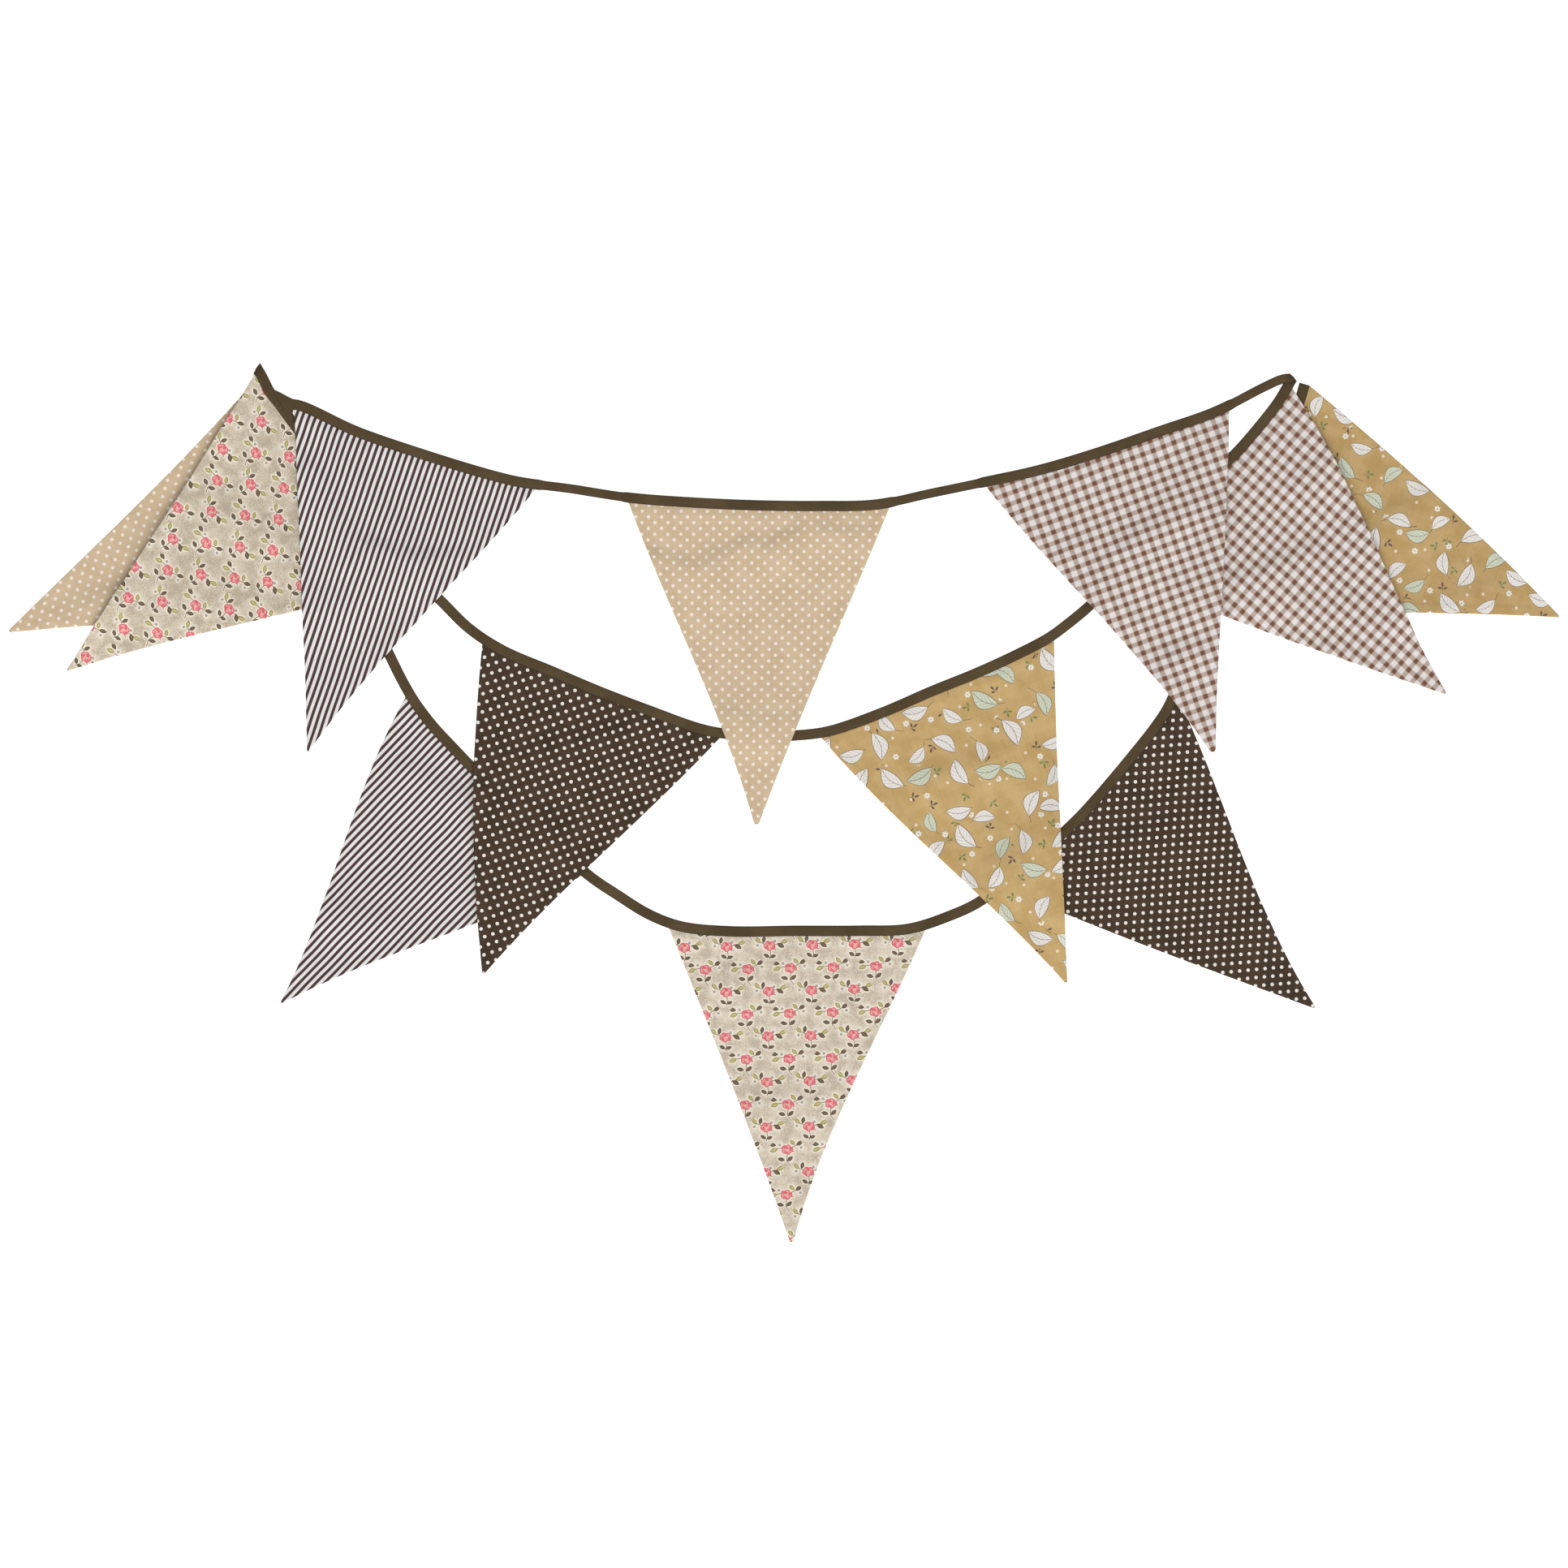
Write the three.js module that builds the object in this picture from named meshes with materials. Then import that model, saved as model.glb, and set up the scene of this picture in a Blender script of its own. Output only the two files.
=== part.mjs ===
import * as THREE from "three";

// A string of twelve three-cornered cotton flags, sewn by their top edges into one folded tape.
// It lies face up on a table in three swags, each strand of tape partly over the one before it.
// Sizes are in millimetres: +X to the right, +Y from the tips to the tape, +Z off the table.

// Cloth and sewing
const FLAG_THICKNESS = 1.2; // two layers of cotton with their turned seams
const FLAG_PRESSED = 0.6; // the same cloth where the tape grips it
const TAPE_WIDTH = 7.2; // folded tape, across
const TAPE_LEAF = 0.5; // each leaf of the folded tape
const TAPE_BACK = 1.2; // folded edge, solid across the tape
const SEWN_GAP = 0.3; // from a flag to the leaves that hold it
const GRIP_CLEARANCE = 0.4; // from a flag's pressed edge to the folded edge of the tape
const CLOSED_GAP = 0.3; // between the leaves where they hold nothing

// How the cloth lies
const LAY_GAP = 0.5; // between cloth and the cloth that it lies on
const EDGE_CLEARANCE = 2; // how far past an edge the cloth above it stays lifted
const FALL = 0.13; // steepest slope of lifted cloth, height over length

// Fineness of the faceted cloth
const CELLS_ON_TABLE = 8; // rows of facets in a flag that lies on the table
const CELLS_OVER_CLOTH = 14; // and in a flag that lies over other cloth
const GAP_STEP = 11; // length of the tape's facets between flags
const TURN_STEPS = 6; // facets round the tape where it is folded back
const TURN_EASE = 22; // length over which the tape's cross lines swing to the line of a fold
const SHORTEST_STRETCH = 2; // what is left of a strand past its last flag is closed if longer
const ROUTE_DIVISIONS = 1500; // steps in which the length of a strand's middle line is measured
const PILE_CELL = 2; // grid on which the height of the laid cloth is kept
const PILE_HALF_WIDTH = 560; // half of that grid's extent along X
const PILE_HALF_DEPTH = 330; // and along Y
const SLIVER = 1e-6; // area under which a triangle covers nothing

// The middle line of the tape, strand by strand, in the order that the tape runs. The upper strand
// runs left to right and is folded back at the right, the middle one runs right to left and is
// folded back at the left, and the lower one ends in the free end. "start" and "end" give the
// direction of the tape's cross line there: a cut end's, or a fold's. "side" is where the flags
// hang: 1 to the right of the run, -1 to its left.
const STRANDS = {
  upper: {
    side: 1,
    start: [0.56, -0.83],
    end: [0.62, -0.79],
    route: [
      [-345.5, 277.5], [-334, 272.5], [-293, 254.5], [-248, 239], [-204, 225.5], [-181.5, 220],
      [-147.5, 215], [-106, 209], [-64.5, 206], [-20, 204], [24.5, 203.5], [63, 204.5], [102, 212],
      [138, 219.5], [174.5, 228], [213.5, 239.5], [257, 254.5], [295.5, 268], [329.5, 285],
      [341, 290], [348.5, 291],
    ],
  },
  middle: {
    side: -1,
    start: [0.62, -0.79],
    end: [-0.5, -0.87],
    route: [
      [348.5, 291], [339, 275], [331.5, 265], [297.5, 228.5], [236.5, 162.5], [209.5, 135],
      [194.5, 122.5], [181.5, 113], [157.5, 100.5], [130, 88], [101.5, 76.5], [68, 62], [34.5, 50],
      [18.5, 47], [-14.5, 45.5], [-42, 47.5], [-58.5, 51], [-92, 63], [-126, 76], [-159, 90],
      [-193, 104.5], [-216, 119.5], [-237.5, 140.5], [-253.5, 155], [-296.5, 209], [-335.5, 259],
      [-345, 271.5], [-354.5, 286], [-360.5, 296],
    ],
  },
  lower: {
    side: 1,
    start: [-0.5, -0.87],
    end: [0.96, -0.28],
    route: [
      [-360.5, 296], [-359, 279], [-326.5, 214.5], [-289, 142], [-271, 102], [-257, 74],
      [-243.5, 55], [-226, 36], [-212.5, 22], [-170.5, -17.5], [-132.5, -51], [-114, -63.5],
      [-92, -77], [-70, -85], [-37, -88.5], [8, -88.5], [52, -88], [85.5, -86.5], [114, -77.5],
      [134, -68], [165, -44], [198, -14.5], [214, 2.5], [240.5, 34], [256.5, 54.5], [264.5, 67.5],
      [289.5, 131], [322.5, 210], [352.5, 272.5], [357, 287],
    ],
  },
};

// One row a flag: its cloth, its strand, the distances along that strand's tape between which it
// is sewn in, and its tip. A pair gives the side that comes first along the tape and the other:
// "bow" is how far the side bulges out at its middle, "sway" how far it swings out near the tape
// and in near the tip.
const FLAGS = [
  { name: "tan_dot_flag_2", cloth: "tanDot", strand: "lower", from: 12, to: 174,
    tip: [-531.5, 117.5], bow: [-1.1, 0.5], sway: [0, 0] },
  { name: "stripe_flag_2", cloth: "stripe", strand: "lower", from: 248, to: 429,
    tip: [-345, -137.5], bow: [0.8, -2.8], sway: [2.8, 0] },
  { name: "rose_flag_2", cloth: "rose", strand: "lower", from: 489, to: 661,
    tip: [5.5, -301.5], bow: [-0.5, -3.3], sway: [0, 2.2] },
  { name: "brown_dot_flag_2", cloth: "brownDot", strand: "lower", from: 721, to: 897,
    tip: [363.5, -140.5], bow: [-0.3, -2.7], sway: [0, 1.6] },
  { name: "mustard_flag_2", cloth: "mustard", strand: "lower", from: 963, to: 1132,
    tip: [531.5, 127.5], bow: [-0.8, 3.3], sway: [0, 0] },
  { name: "gingham_flag_2", cloth: "gingham", strand: "middle", from: 8, to: 179,
    tip: [454, 75], bow: [0, 1.9], sway: [0.3, 0] },
  { name: "mustard_flag_1", cloth: "mustard", strand: "middle", from: 243, to: 415,
    tip: [195, -123.5], bow: [-1.9, 1.1], sway: [0, 1.9] },
  { name: "brown_dot_flag_1", cloth: "brownDot", strand: "middle", from: 485, to: 656,
    tip: [-205, -117], bow: [-0.8, 5.5], sway: [1.1, 0] },
  { name: "rose_flag_1", cloth: "rose", strand: "middle", from: 722, to: 900,
    tip: [-491.5, 90], bow: [-1.7, 0], sway: [0, 0] },
  { name: "stripe_flag_1", cloth: "stripe", strand: "upper", from: 13, to: 186,
    tip: [-326, 35], bow: [0.3, -0.6], sway: [0, 1.7] },
  { name: "tan_dot_flag_1", cloth: "tanDot", strand: "upper", from: 251, to: 430,
    tip: [-19, -15], bow: [-1.7, -0.8], sway: [1.4, 0] },
  { name: "gingham_flag_1", cloth: "gingham", strand: "upper", from: 497, to: 672,
    tip: [293.5, 34.5], bow: [-1.1, 0.8], sway: [1.6, 0] },
];

// Soft creases that lift a flag along a line, with their height and half width.
const CREASES = [
  { flag: "tan_dot_flag_1", from: [-85, 150], to: [-15, 180], rise: 2.4, reach: 17 },
  { flag: "tan_dot_flag_1", from: [-2, 165], to: [52, 190], rise: 2, reach: 15 },
  { flag: "stripe_flag_1", from: [-280, 172], to: [-205, 166], rise: 2, reach: 15 },
  { flag: "stripe_flag_1", from: [-318, 120], to: [-300, 70], rise: 1.4, reach: 14 },
  { flag: "rose_flag_1", from: [-470, 125], to: [-405, 165], rise: 1.8, reach: 16 },
  { flag: "rose_flag_1", from: [-370, 215], to: [-330, 175], rise: 1.5, reach: 15 },
  { flag: "gingham_flag_1", from: [225, 170], to: [262, 118], rise: 2, reach: 16 },
  { flag: "gingham_flag_2", from: [345, 215], to: [372, 150], rise: 1.8, reach: 16 },
  { flag: "brown_dot_flag_1", from: [-150, 35], to: [-192, -35], rise: 1.6, reach: 16 },
  { flag: "mustard_flag_1", from: [110, 20], to: [160, -40], rise: 1.8, reach: 17 },
  { flag: "mustard_flag_2", from: [400, 190], to: [455, 150], rise: 2, reach: 18 },
  { flag: "brown_dot_flag_2", from: [250, -20], to: [300, -75], rise: 1.6, reach: 20 },
  { flag: "stripe_flag_2", from: [-270, 10], to: [-300, -60], rise: 1.6, reach: 20 },
  { flag: "rose_flag_2", from: [-45, -120], to: [-20, -185], rise: 1.4, reach: 20 },
  { flag: "tan_dot_flag_2", from: [-400, 195], to: [-450, 165], rise: 1.6, reach: 18 },
];

const FINISHES = {
  tape: { color: 0x544630, roughness: 0.92 },
  stripe: { color: 0xb0a6a2, roughness: 0.9 },
  tanDot: { color: 0xcdb48d, roughness: 0.9 },
  gingham: { color: 0xc3b4a9, roughness: 0.9 },
  brownDot: { color: 0x54442f, roughness: 0.9 },
  rose: { color: 0xcbbca4, roughness: 0.9 },
  mustard: { color: 0xbb9a58, roughness: 0.9 },
};

const GRIP_SLOT = FLAG_PRESSED + 2 * SEWN_GAP;
const SLOT_END = TAPE_BACK - TAPE_WIDTH / 2;
const GRIP_END = SLOT_END + GRIP_CLEARANCE;
const SWAY_PEAK = 6 * Math.sqrt(3); // brings the widest offset of t(1 - t)(1 - 2t) to 1

const smooth = (t) => {
  const clamped = Math.min(Math.max(t, 0), 1);
  return clamped * clamped * (3 - 2 * clamped);
};

const unit = (vector) => vector.clone().normalize();

/** The height of the cloth laid so far, kept on a square grid over the table. */
class Pile {
  constructor(halfWidth, halfDepth) {
    this.left = -halfWidth;
    this.front = -halfDepth;
    this.columns = Math.ceil((2 * halfWidth) / PILE_CELL);
    this.rows = Math.ceil((2 * halfDepth) / PILE_CELL);
    this.heights = new Float32Array(this.columns * this.rows);
  }

  /** Visits the grid cells within a margin of a triangle, with the weights of its three corners. */
  visit([a, b, c], margin, action) {
    const area = (b.x - a.x) * (c.y - a.y) - (b.y - a.y) * (c.x - a.x);
    if (Math.abs(area) < SLIVER) return;
    const range = (values, edge) => [
      Math.floor((Math.min(...values) - margin - edge) / PILE_CELL),
      Math.ceil((Math.max(...values) + margin - edge) / PILE_CELL),
    ];
    const [firstRow, endRow] = range([a.y, b.y, c.y], this.front);
    const [firstColumn, endColumn] = range([a.x, b.x, c.x], this.left);
    const lengths = [b.distanceTo(c), c.distanceTo(a), a.distanceTo(b)];
    for (let row = firstRow; row < endRow; row += 1) {
      for (let column = firstColumn; column < endColumn; column += 1) {
        const x = this.left + (column + 0.5) * PILE_CELL;
        const y = this.front + (row + 0.5) * PILE_CELL;
        const weights = [
          ((b.x - x) * (c.y - y) - (b.y - y) * (c.x - x)) / area,
          ((c.x - x) * (a.y - y) - (c.y - y) * (a.x - x)) / area,
          ((a.x - x) * (b.y - y) - (a.y - y) * (b.x - x)) / area,
        ];
        const outside = weights.some((weight, k) => (weight * Math.abs(area)) / lengths[k] < -margin);
        if (!outside) action(row * this.columns + column, weights);
      }
    }
  }

  /** The highest cloth under a triangle. */
  under(triangle) {
    let highest = 0;
    this.visit(triangle, EDGE_CLEARANCE, (cell) => {
      highest = Math.max(highest, this.heights[cell]);
    });
    return highest;
  }

  /** Adds a triangle of upper surface, given with its three heights. */
  lay(triangle, heights) {
    this.visit(triangle, PILE_CELL / 2, (cell, weights) => {
      const held = weights.map((weight) => Math.max(weight, 0));
      const total = held[0] + held[1] + held[2];
      const height = (held[0] * heights[0] + held[1] * heights[1] + held[2] * heights[2]) / total;
      this.heights[cell] = Math.max(this.heights[cell], height);
    });
  }
}

/** Cross sections of a strand's tape: where they are, which way they cross it, what they hold. */
function stationsOf(strandName) {
  const strand = STRANDS[strandName];
  const curve = new THREE.CatmullRomCurve3(
    strand.route.map(([x, y]) => new THREE.Vector3(x, y, 0)), false, "centripetal");
  curve.arcLengthDivisions = ROUTE_DIVISIONS;
  const length = curve.getLength();
  const flags = FLAGS.filter((flag) => flag.strand === strandName);
  const cells = strandName === "lower" ? CELLS_ON_TABLE : CELLS_OVER_CLOTH;
  const marks = [{ at: 0, held: false }];
  const addStretch = (to, count, held) => {
    const from = marks.at(-1).at;
    if (held) marks.at(-1).held = true;
    for (let step = 1; step <= count; step += 1) {
      marks.push({ at: from + ((to - from) * step) / count, held });
    }
  };
  for (const flag of flags) {
    addStretch(flag.from, Math.max(1, Math.ceil((flag.from - marks.at(-1).at) / GAP_STEP)), false);
    flag.first = marks.length - 1;
    flag.cells = cells;
    addStretch(Math.min(flag.to, length), cells, true);
  }
  const rest = length - marks.at(-1).at;
  if (rest > SHORTEST_STRETCH) addStretch(length, Math.ceil(rest / GAP_STEP), false);
  return marks.map(({ at, held }) => {
    const share = Math.min(at / length, 1);
    const middle = curve.getPointAt(share);
    const run = curve.getTangentAt(share);
    const square = new THREE.Vector3(run.y, -run.x, 0).multiplyScalar(strand.side);
    const startLine = unit(new THREE.Vector3(...strand.start, 0));
    const endLine = unit(new THREE.Vector3(...strand.end, 0));
    const across = square.clone();
    across.lerp(startLine, 1 - smooth(at / TURN_EASE));
    across.lerp(endLine, 1 - smooth((length - at) / TURN_EASE));
    across.normalize();
    across.divideScalar(across.dot(square));
    return { middle, across, held, need: 0 };
  });
}

const pointOn = (station, distance) => station.middle.clone().addScaledVector(station.across, distance);

/** A flag's plan: rows of points from the tape to the tip, each row one point shorter. */
function planOf(flag, stations) {
  const count = flag.cells;
  const held = stations.slice(flag.first, flag.first + count + 1);
  const lips = held.map((station) => pointOn(station, TAPE_WIDTH / 2));
  const tip = new THREE.Vector3(...flag.tip, 0);
  const centre = lips[0].clone().add(lips[count]).add(tip).divideScalar(3);
  const outward = [lips[0], lips[count]].map((corner) => {
    const along = unit(tip.clone().sub(corner));
    const square = new THREE.Vector3(along.y, -along.x, 0);
    return centre.clone().sub(corner).dot(square) > 0 ? square.negate() : square;
  });
  const bulge = (side, t) => {
    const bow = flag.bow[side] * 4 * t * (1 - t);
    const sway = flag.sway[side] * SWAY_PEAK * t * (1 - t) * (1 - 2 * t);
    return bow + sway;
  };
  const points = [];
  const rows = [];
  for (let row = 0; row <= count; row += 1) {
    const t = row / count;
    const spans = count - row;
    rows.push([]);
    for (let k = 0; k <= spans; k += 1) {
      const share = spans > 0 ? k / spans : 0.5;
      const place = share * count;
      const lower = Math.min(Math.floor(place), count - 1);
      const point = lips[lower].clone().lerp(lips[lower + 1], place - lower);
      point.lerp(tip, t);
      point.addScaledVector(outward[0], bulge(0, t) * (1 - share));
      point.addScaledVector(outward[1], bulge(1, t) * share);
      rows[row].push(points.length);
      points.push({ place: point, need: 0 });
    }
  }
  const triangles = [];
  for (let row = 0; row < count; row += 1) {
    for (let k = 0; k < count - row; k += 1) {
      triangles.push([rows[row][k], rows[row + 1][k], rows[row][k + 1]]);
      if (k < count - row - 1) triangles.push([rows[row][k + 1], rows[row + 1][k], rows[row + 1][k + 1]]);
    }
  }
  return { flag, held, points, rows, triangles };
}

/** How far a flag's creases lift a point of it. */
function creaseAt(flag, place) {
  let lift = 0;
  for (const crease of CREASES.filter((row) => row.flag === flag.name)) {
    const line = new THREE.Line3(new THREE.Vector3(...crease.from, 0), new THREE.Vector3(...crease.to, 0));
    const nearest = line.closestPointToPoint(place, true, new THREE.Vector3());
    lift = Math.max(lift, crease.rise * (1 - smooth(place.distanceTo(nearest) / crease.reach)));
  }
  return lift;
}

/** The two triangles of tape between two cross sections, out to the distances given. */
function tapeTriangles(a, b, inner, outer) {
  const corners = [pointOn(a, inner), pointOn(a, outer), pointOn(b, inner), pointOn(b, outer)];
  return [[corners[0], corners[1], corners[2]], [corners[2], corners[1], corners[3]]];
}

const slotAt = (station) => (station.held ? GRIP_SLOT : CLOSED_GAP);
const thicknessAt = (station) => 2 * TAPE_LEAF + slotAt(station);
const midAt = (station) => station.low + thicknessAt(station) / 2;

/** Lowers a strand and its flags onto the pile, then adds them to it. */
function layStrand(strandName, pile) {
  const stations = stationsOf(strandName);
  const plans = FLAGS.filter((flag) => flag.strand === strandName).map((flag) => planOf(flag, stations));
  const raise = (points, height) => {
    const clear = height > 0 ? height + LAY_GAP : 0;
    for (const point of points) point.need = Math.max(point.need, clear);
  };
  for (let k = 1; k < stations.length; k += 1) {
    const pair = [stations[k - 1], stations[k]];
    const footprint = tapeTriangles(...pair, -TAPE_WIDTH / 2, TAPE_WIDTH / 2);
    raise(pair, Math.max(...footprint.map((triangle) => pile.under(triangle))));
  }
  for (const { points, triangles } of plans) {
    for (const triangle of triangles) {
      const corners = triangle.map((k) => points[k]);
      raise(corners, pile.under(corners.map((corner) => corner.place)));
    }
  }
  const knots = stations.map((station) => ({ place: station.middle, need: station.need }));
  for (const { points } of plans) knots.push(...points);
  const lifted = knots.filter((knot) => knot.need > 0);
  const settled = (place, need) => lifted.reduce(
    (height, knot) => Math.max(height, knot.need - FALL * place.distanceTo(knot.place)), need);
  for (const station of stations) station.low = settled(station.middle, station.need);
  for (const plan of plans) {
    const lipRow = new Set(plan.rows[0]);
    plan.points.forEach((point, k) => {
      if (lipRow.has(k)) {
        const mid = midAt(plan.held[k]);
        point.low = mid - FLAG_PRESSED / 2;
        point.high = mid + FLAG_PRESSED / 2;
      } else {
        point.low = settled(point.place, point.need) + creaseAt(plan.flag, point.place);
        point.high = point.low + FLAG_THICKNESS;
      }
    });
    for (const triangle of plan.triangles) {
      const corners = triangle.map((k) => plan.points[k]);
      pile.lay(corners.map((corner) => corner.place), corners.map((corner) => corner.high));
    }
  }
  for (let k = 1; k < stations.length; k += 1) {
    const [a, b] = [stations[k - 1], stations[k]];
    const tops = [a, b].map((station) => station.low + thicknessAt(station));
    const [near, far] = tapeTriangles(a, b, -TAPE_WIDTH / 2, TAPE_WIDTH / 2);
    pile.lay(near, [tops[0], tops[0], tops[1]]);
    pile.lay(far, [tops[1], tops[0], tops[1]]);
  }
  return { stations, plans };
}

/** A closed sheet: the triangles at their upper and under heights, walled round their edge. */
function sheetGeometry(points, triangles) {
  const count = points.length;
  const positions = [
    ...points.flatMap(({ place, low }) => [place.x, place.y, low]),
    ...points.flatMap(({ place, high }) => [place.x, place.y, high]),
  ];
  const index = [];
  const edges = new Map();
  for (const [a, b, c] of triangles) {
    index.push(a + count, b + count, c + count, c, b, a);
    for (const [from, to] of [[a, b], [b, c], [c, a]]) {
      if (!edges.delete(`${to} ${from}`)) edges.set(`${from} ${to}`, [from, to]);
    }
  }
  for (const [from, to] of edges.values()) {
    index.push(from, to, to + count, from, to + count, from + count);
  }
  const geometry = new THREE.BufferGeometry();
  geometry.setAttribute("position", new THREE.Float32BufferAttribute(positions, 3));
  geometry.setIndex(index);
  return geometry;
}

/** A flag's solid: its sheet, and the pressed edge that lies between the leaves of the tape. */
function flagGeometry({ flag, held, points, rows, triangles }) {
  const all = [...points];
  const grip = held.map((station, k) => {
    const { low, high } = points[rows[0][k]];
    all.push({ place: pointOn(station, GRIP_END), low, high });
    return all.length - 1;
  });
  const faces = [...triangles];
  for (let k = 0; k < grip.length - 1; k += 1) {
    faces.push([grip[k], rows[0][k], rows[0][k + 1]], [grip[k], rows[0][k + 1], grip[k + 1]]);
  }
  const turned = STRANDS[flag.strand].side < 0 ? faces.map(([a, b, c]) => [a, c, b]) : faces;
  return sheetGeometry(all, turned);
}

/** The tape's cross section: two leaves joined at the folded edge, open towards the flags. */
function sectionOf(slot) {
  const half = TAPE_WIDTH / 2;
  const face = slot / 2 + TAPE_LEAF;
  return [
    [-half, -face], [half, -face], [half, -slot / 2], [SLOT_END, -slot / 2],
    [SLOT_END, slot / 2], [half, slot / 2], [half, face], [-half, face],
  ];
}

/** One ring of the tape's surface: its section set at a place, across it and along its normal. */
function ringOf(middle, across, normal, slot) {
  return sectionOf(slot).map(([u, v]) =>
    middle.clone().addScaledVector(across, u).addScaledVector(normal, v));
}

/** The rings of a strand that lies flat, its normal up or down. */
function flatRings(stations, normalSign) {
  return stations.map((station) => {
    const middle = station.middle.clone().setZ(midAt(station));
    return ringOf(middle, station.across, new THREE.Vector3(0, 0, normalSign), slotAt(station));
  });
}

/** The rings of the half turn with which the tape folds back from one strand under itself. */
function turnRings(last, next, normalSign) {
  const [top, bottom] = [midAt(last), midAt(next)];
  const centre = last.middle.clone().setZ((top + bottom) / 2);
  const radius = (top - bottom) / 2;
  const up = new THREE.Vector3(0, 0, 1);
  const outward = new THREE.Vector3(last.across.y, -last.across.x, 0).normalize();
  if (outward.x * last.middle.x < 0) outward.negate();
  const rings = [];
  for (let step = 1; step < TURN_STEPS; step += 1) {
    const share = step / TURN_STEPS;
    const spoke = up.clone().multiplyScalar(Math.cos(Math.PI * share));
    spoke.addScaledVector(outward, Math.sin(Math.PI * share));
    const middle = centre.clone().addScaledVector(spoke, radius);
    const across = last.across.clone().lerp(next.across, share);
    const slot = THREE.MathUtils.lerp(slotAt(last), slotAt(next), share);
    rings.push(ringOf(middle, across, spoke.multiplyScalar(normalSign), slot));
  }
  return rings;
}

/** A closed skin over rings of points, with a cap on each end. */
function loftGeometry(rings, section) {
  const count = rings[0].length;
  const positions = rings.flatMap((ring) => ring.flatMap((point) => point.toArray()));
  const index = [];
  for (let ring = 1; ring < rings.length; ring += 1) {
    for (let k = 0; k < count; k += 1) {
      const next = (k + 1) % count;
      const [a, b] = [(ring - 1) * count + k, (ring - 1) * count + next];
      const [c, d] = [ring * count + next, ring * count + k];
      index.push(a, c, b, a, d, c);
    }
  }
  const contour = section.map(([u, v]) => new THREE.Vector2(u, v));
  const base = (rings.length - 1) * count;
  for (const [a, b, c] of THREE.ShapeUtils.triangulateShape(contour, [])) {
    index.push(a, b, c, base + c, base + b, base + a);
  }
  const geometry = new THREE.BufferGeometry();
  geometry.setAttribute("position", new THREE.Float32BufferAttribute(positions, 3));
  geometry.setIndex(index);
  return geometry;
}

function meshOf(name, geometry, finish) {
  geometry.computeVertexNormals();
  const material = new THREE.MeshStandardMaterial({ ...FINISHES[finish], metalness: 0, flatShading: true });
  const mesh = new THREE.Mesh(geometry, material);
  mesh.name = name;
  return mesh;
}

// The strands are laid from the lowest up.
const pile = new Pile(PILE_HALF_WIDTH, PILE_HALF_DEPTH);
const lower = layStrand("lower", pile);
const middle = layStrand("middle", pile);
const upper = layStrand("upper", pile);

const bunting = new THREE.Group();
for (const { plans } of [upper, middle, lower]) {
  for (const plan of plans) bunting.add(meshOf(plan.flag.name, flagGeometry(plan), plan.flag.cloth));
}

const tapeRings = [
  ...flatRings(upper.stations, 1),
  ...turnRings(upper.stations.at(-1), middle.stations[0], 1),
  ...flatRings(middle.stations, -1),
  ...turnRings(middle.stations.at(-1), lower.stations[0], -1),
  ...flatRings(lower.stations, 1),
];
bunting.add(meshOf("binding_tape", loftGeometry(tapeRings, sectionOf(GRIP_SLOT)), "tape"));

export default bunting;
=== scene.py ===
"""A string of fabric bunting: twelve double flags of six printed cottons in one folded tape.

It lies face up on a pale table in three swags, each strand of tape partly over the one before it.
Lengths are in metres where no unit is named: +X to the right, +Y from the tips to the tape and +Z
off the table. Plans and prints are given in millimetres, and "* MM" turns them into metres.
"""

import math

import bpy
import numpy as np
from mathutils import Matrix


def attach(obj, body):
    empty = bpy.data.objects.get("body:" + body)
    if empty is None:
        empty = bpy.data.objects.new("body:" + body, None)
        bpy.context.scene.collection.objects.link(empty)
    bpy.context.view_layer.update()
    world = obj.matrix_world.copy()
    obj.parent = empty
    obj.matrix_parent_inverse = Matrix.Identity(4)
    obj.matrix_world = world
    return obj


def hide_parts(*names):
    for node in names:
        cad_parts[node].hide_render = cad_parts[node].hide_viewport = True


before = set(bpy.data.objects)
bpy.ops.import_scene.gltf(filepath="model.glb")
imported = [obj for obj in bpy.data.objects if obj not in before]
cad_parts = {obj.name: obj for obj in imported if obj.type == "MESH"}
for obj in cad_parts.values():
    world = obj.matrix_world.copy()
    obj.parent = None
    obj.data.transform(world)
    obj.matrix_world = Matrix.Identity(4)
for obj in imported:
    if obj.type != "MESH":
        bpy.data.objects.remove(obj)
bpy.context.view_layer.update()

MM = 0.001

# The view and the table
# The string is seen from straight above, on a white table that is lit from below as well, under
# an even room light and a wide soft lamp that stands on the side of the tips.
VIEW_CENTRE_Y = 12.8 * MM
VIEW_HALF_WIDTH = 538 * MM
LENS_MM = 85
SENSOR_MM = 36
VIEW_HEIGHT = VIEW_HALF_WIDTH * LENS_MM / (SENSOR_MM / 2)
TABLE_HALF_WIDTH = 4
TABLE_TOP = -0.05 * MM
TABLE_WHITE = (0.65, 0.65, 0.65, 1)
TABLE_GLOW = 0.75
TABLE_ROUGHNESS = 0.9
WHITE = (1, 1, 1, 1)
ROOM_BRIGHTNESS = 0.78
LAMP_BRIGHTNESS = 0.52
LAMP_TILT = math.radians(48)
LAMP_TURN = math.radians(6)
LAMP_SPREAD = math.radians(35)
CLOTH_BRIGHTNESS = ROOM_BRIGHTNESS + LAMP_BRIGHTNESS

camera_data = bpy.data.cameras.new("view")
camera_data.lens = LENS_MM
camera_data.sensor_width = SENSOR_MM
camera = bpy.data.objects.new("view", camera_data)
camera.location = (0, VIEW_CENTRE_Y, VIEW_HEIGHT)
bpy.context.collection.objects.link(camera)
bpy.context.scene.camera = camera
bpy.context.scene.view_settings.view_transform = "Standard"

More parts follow.
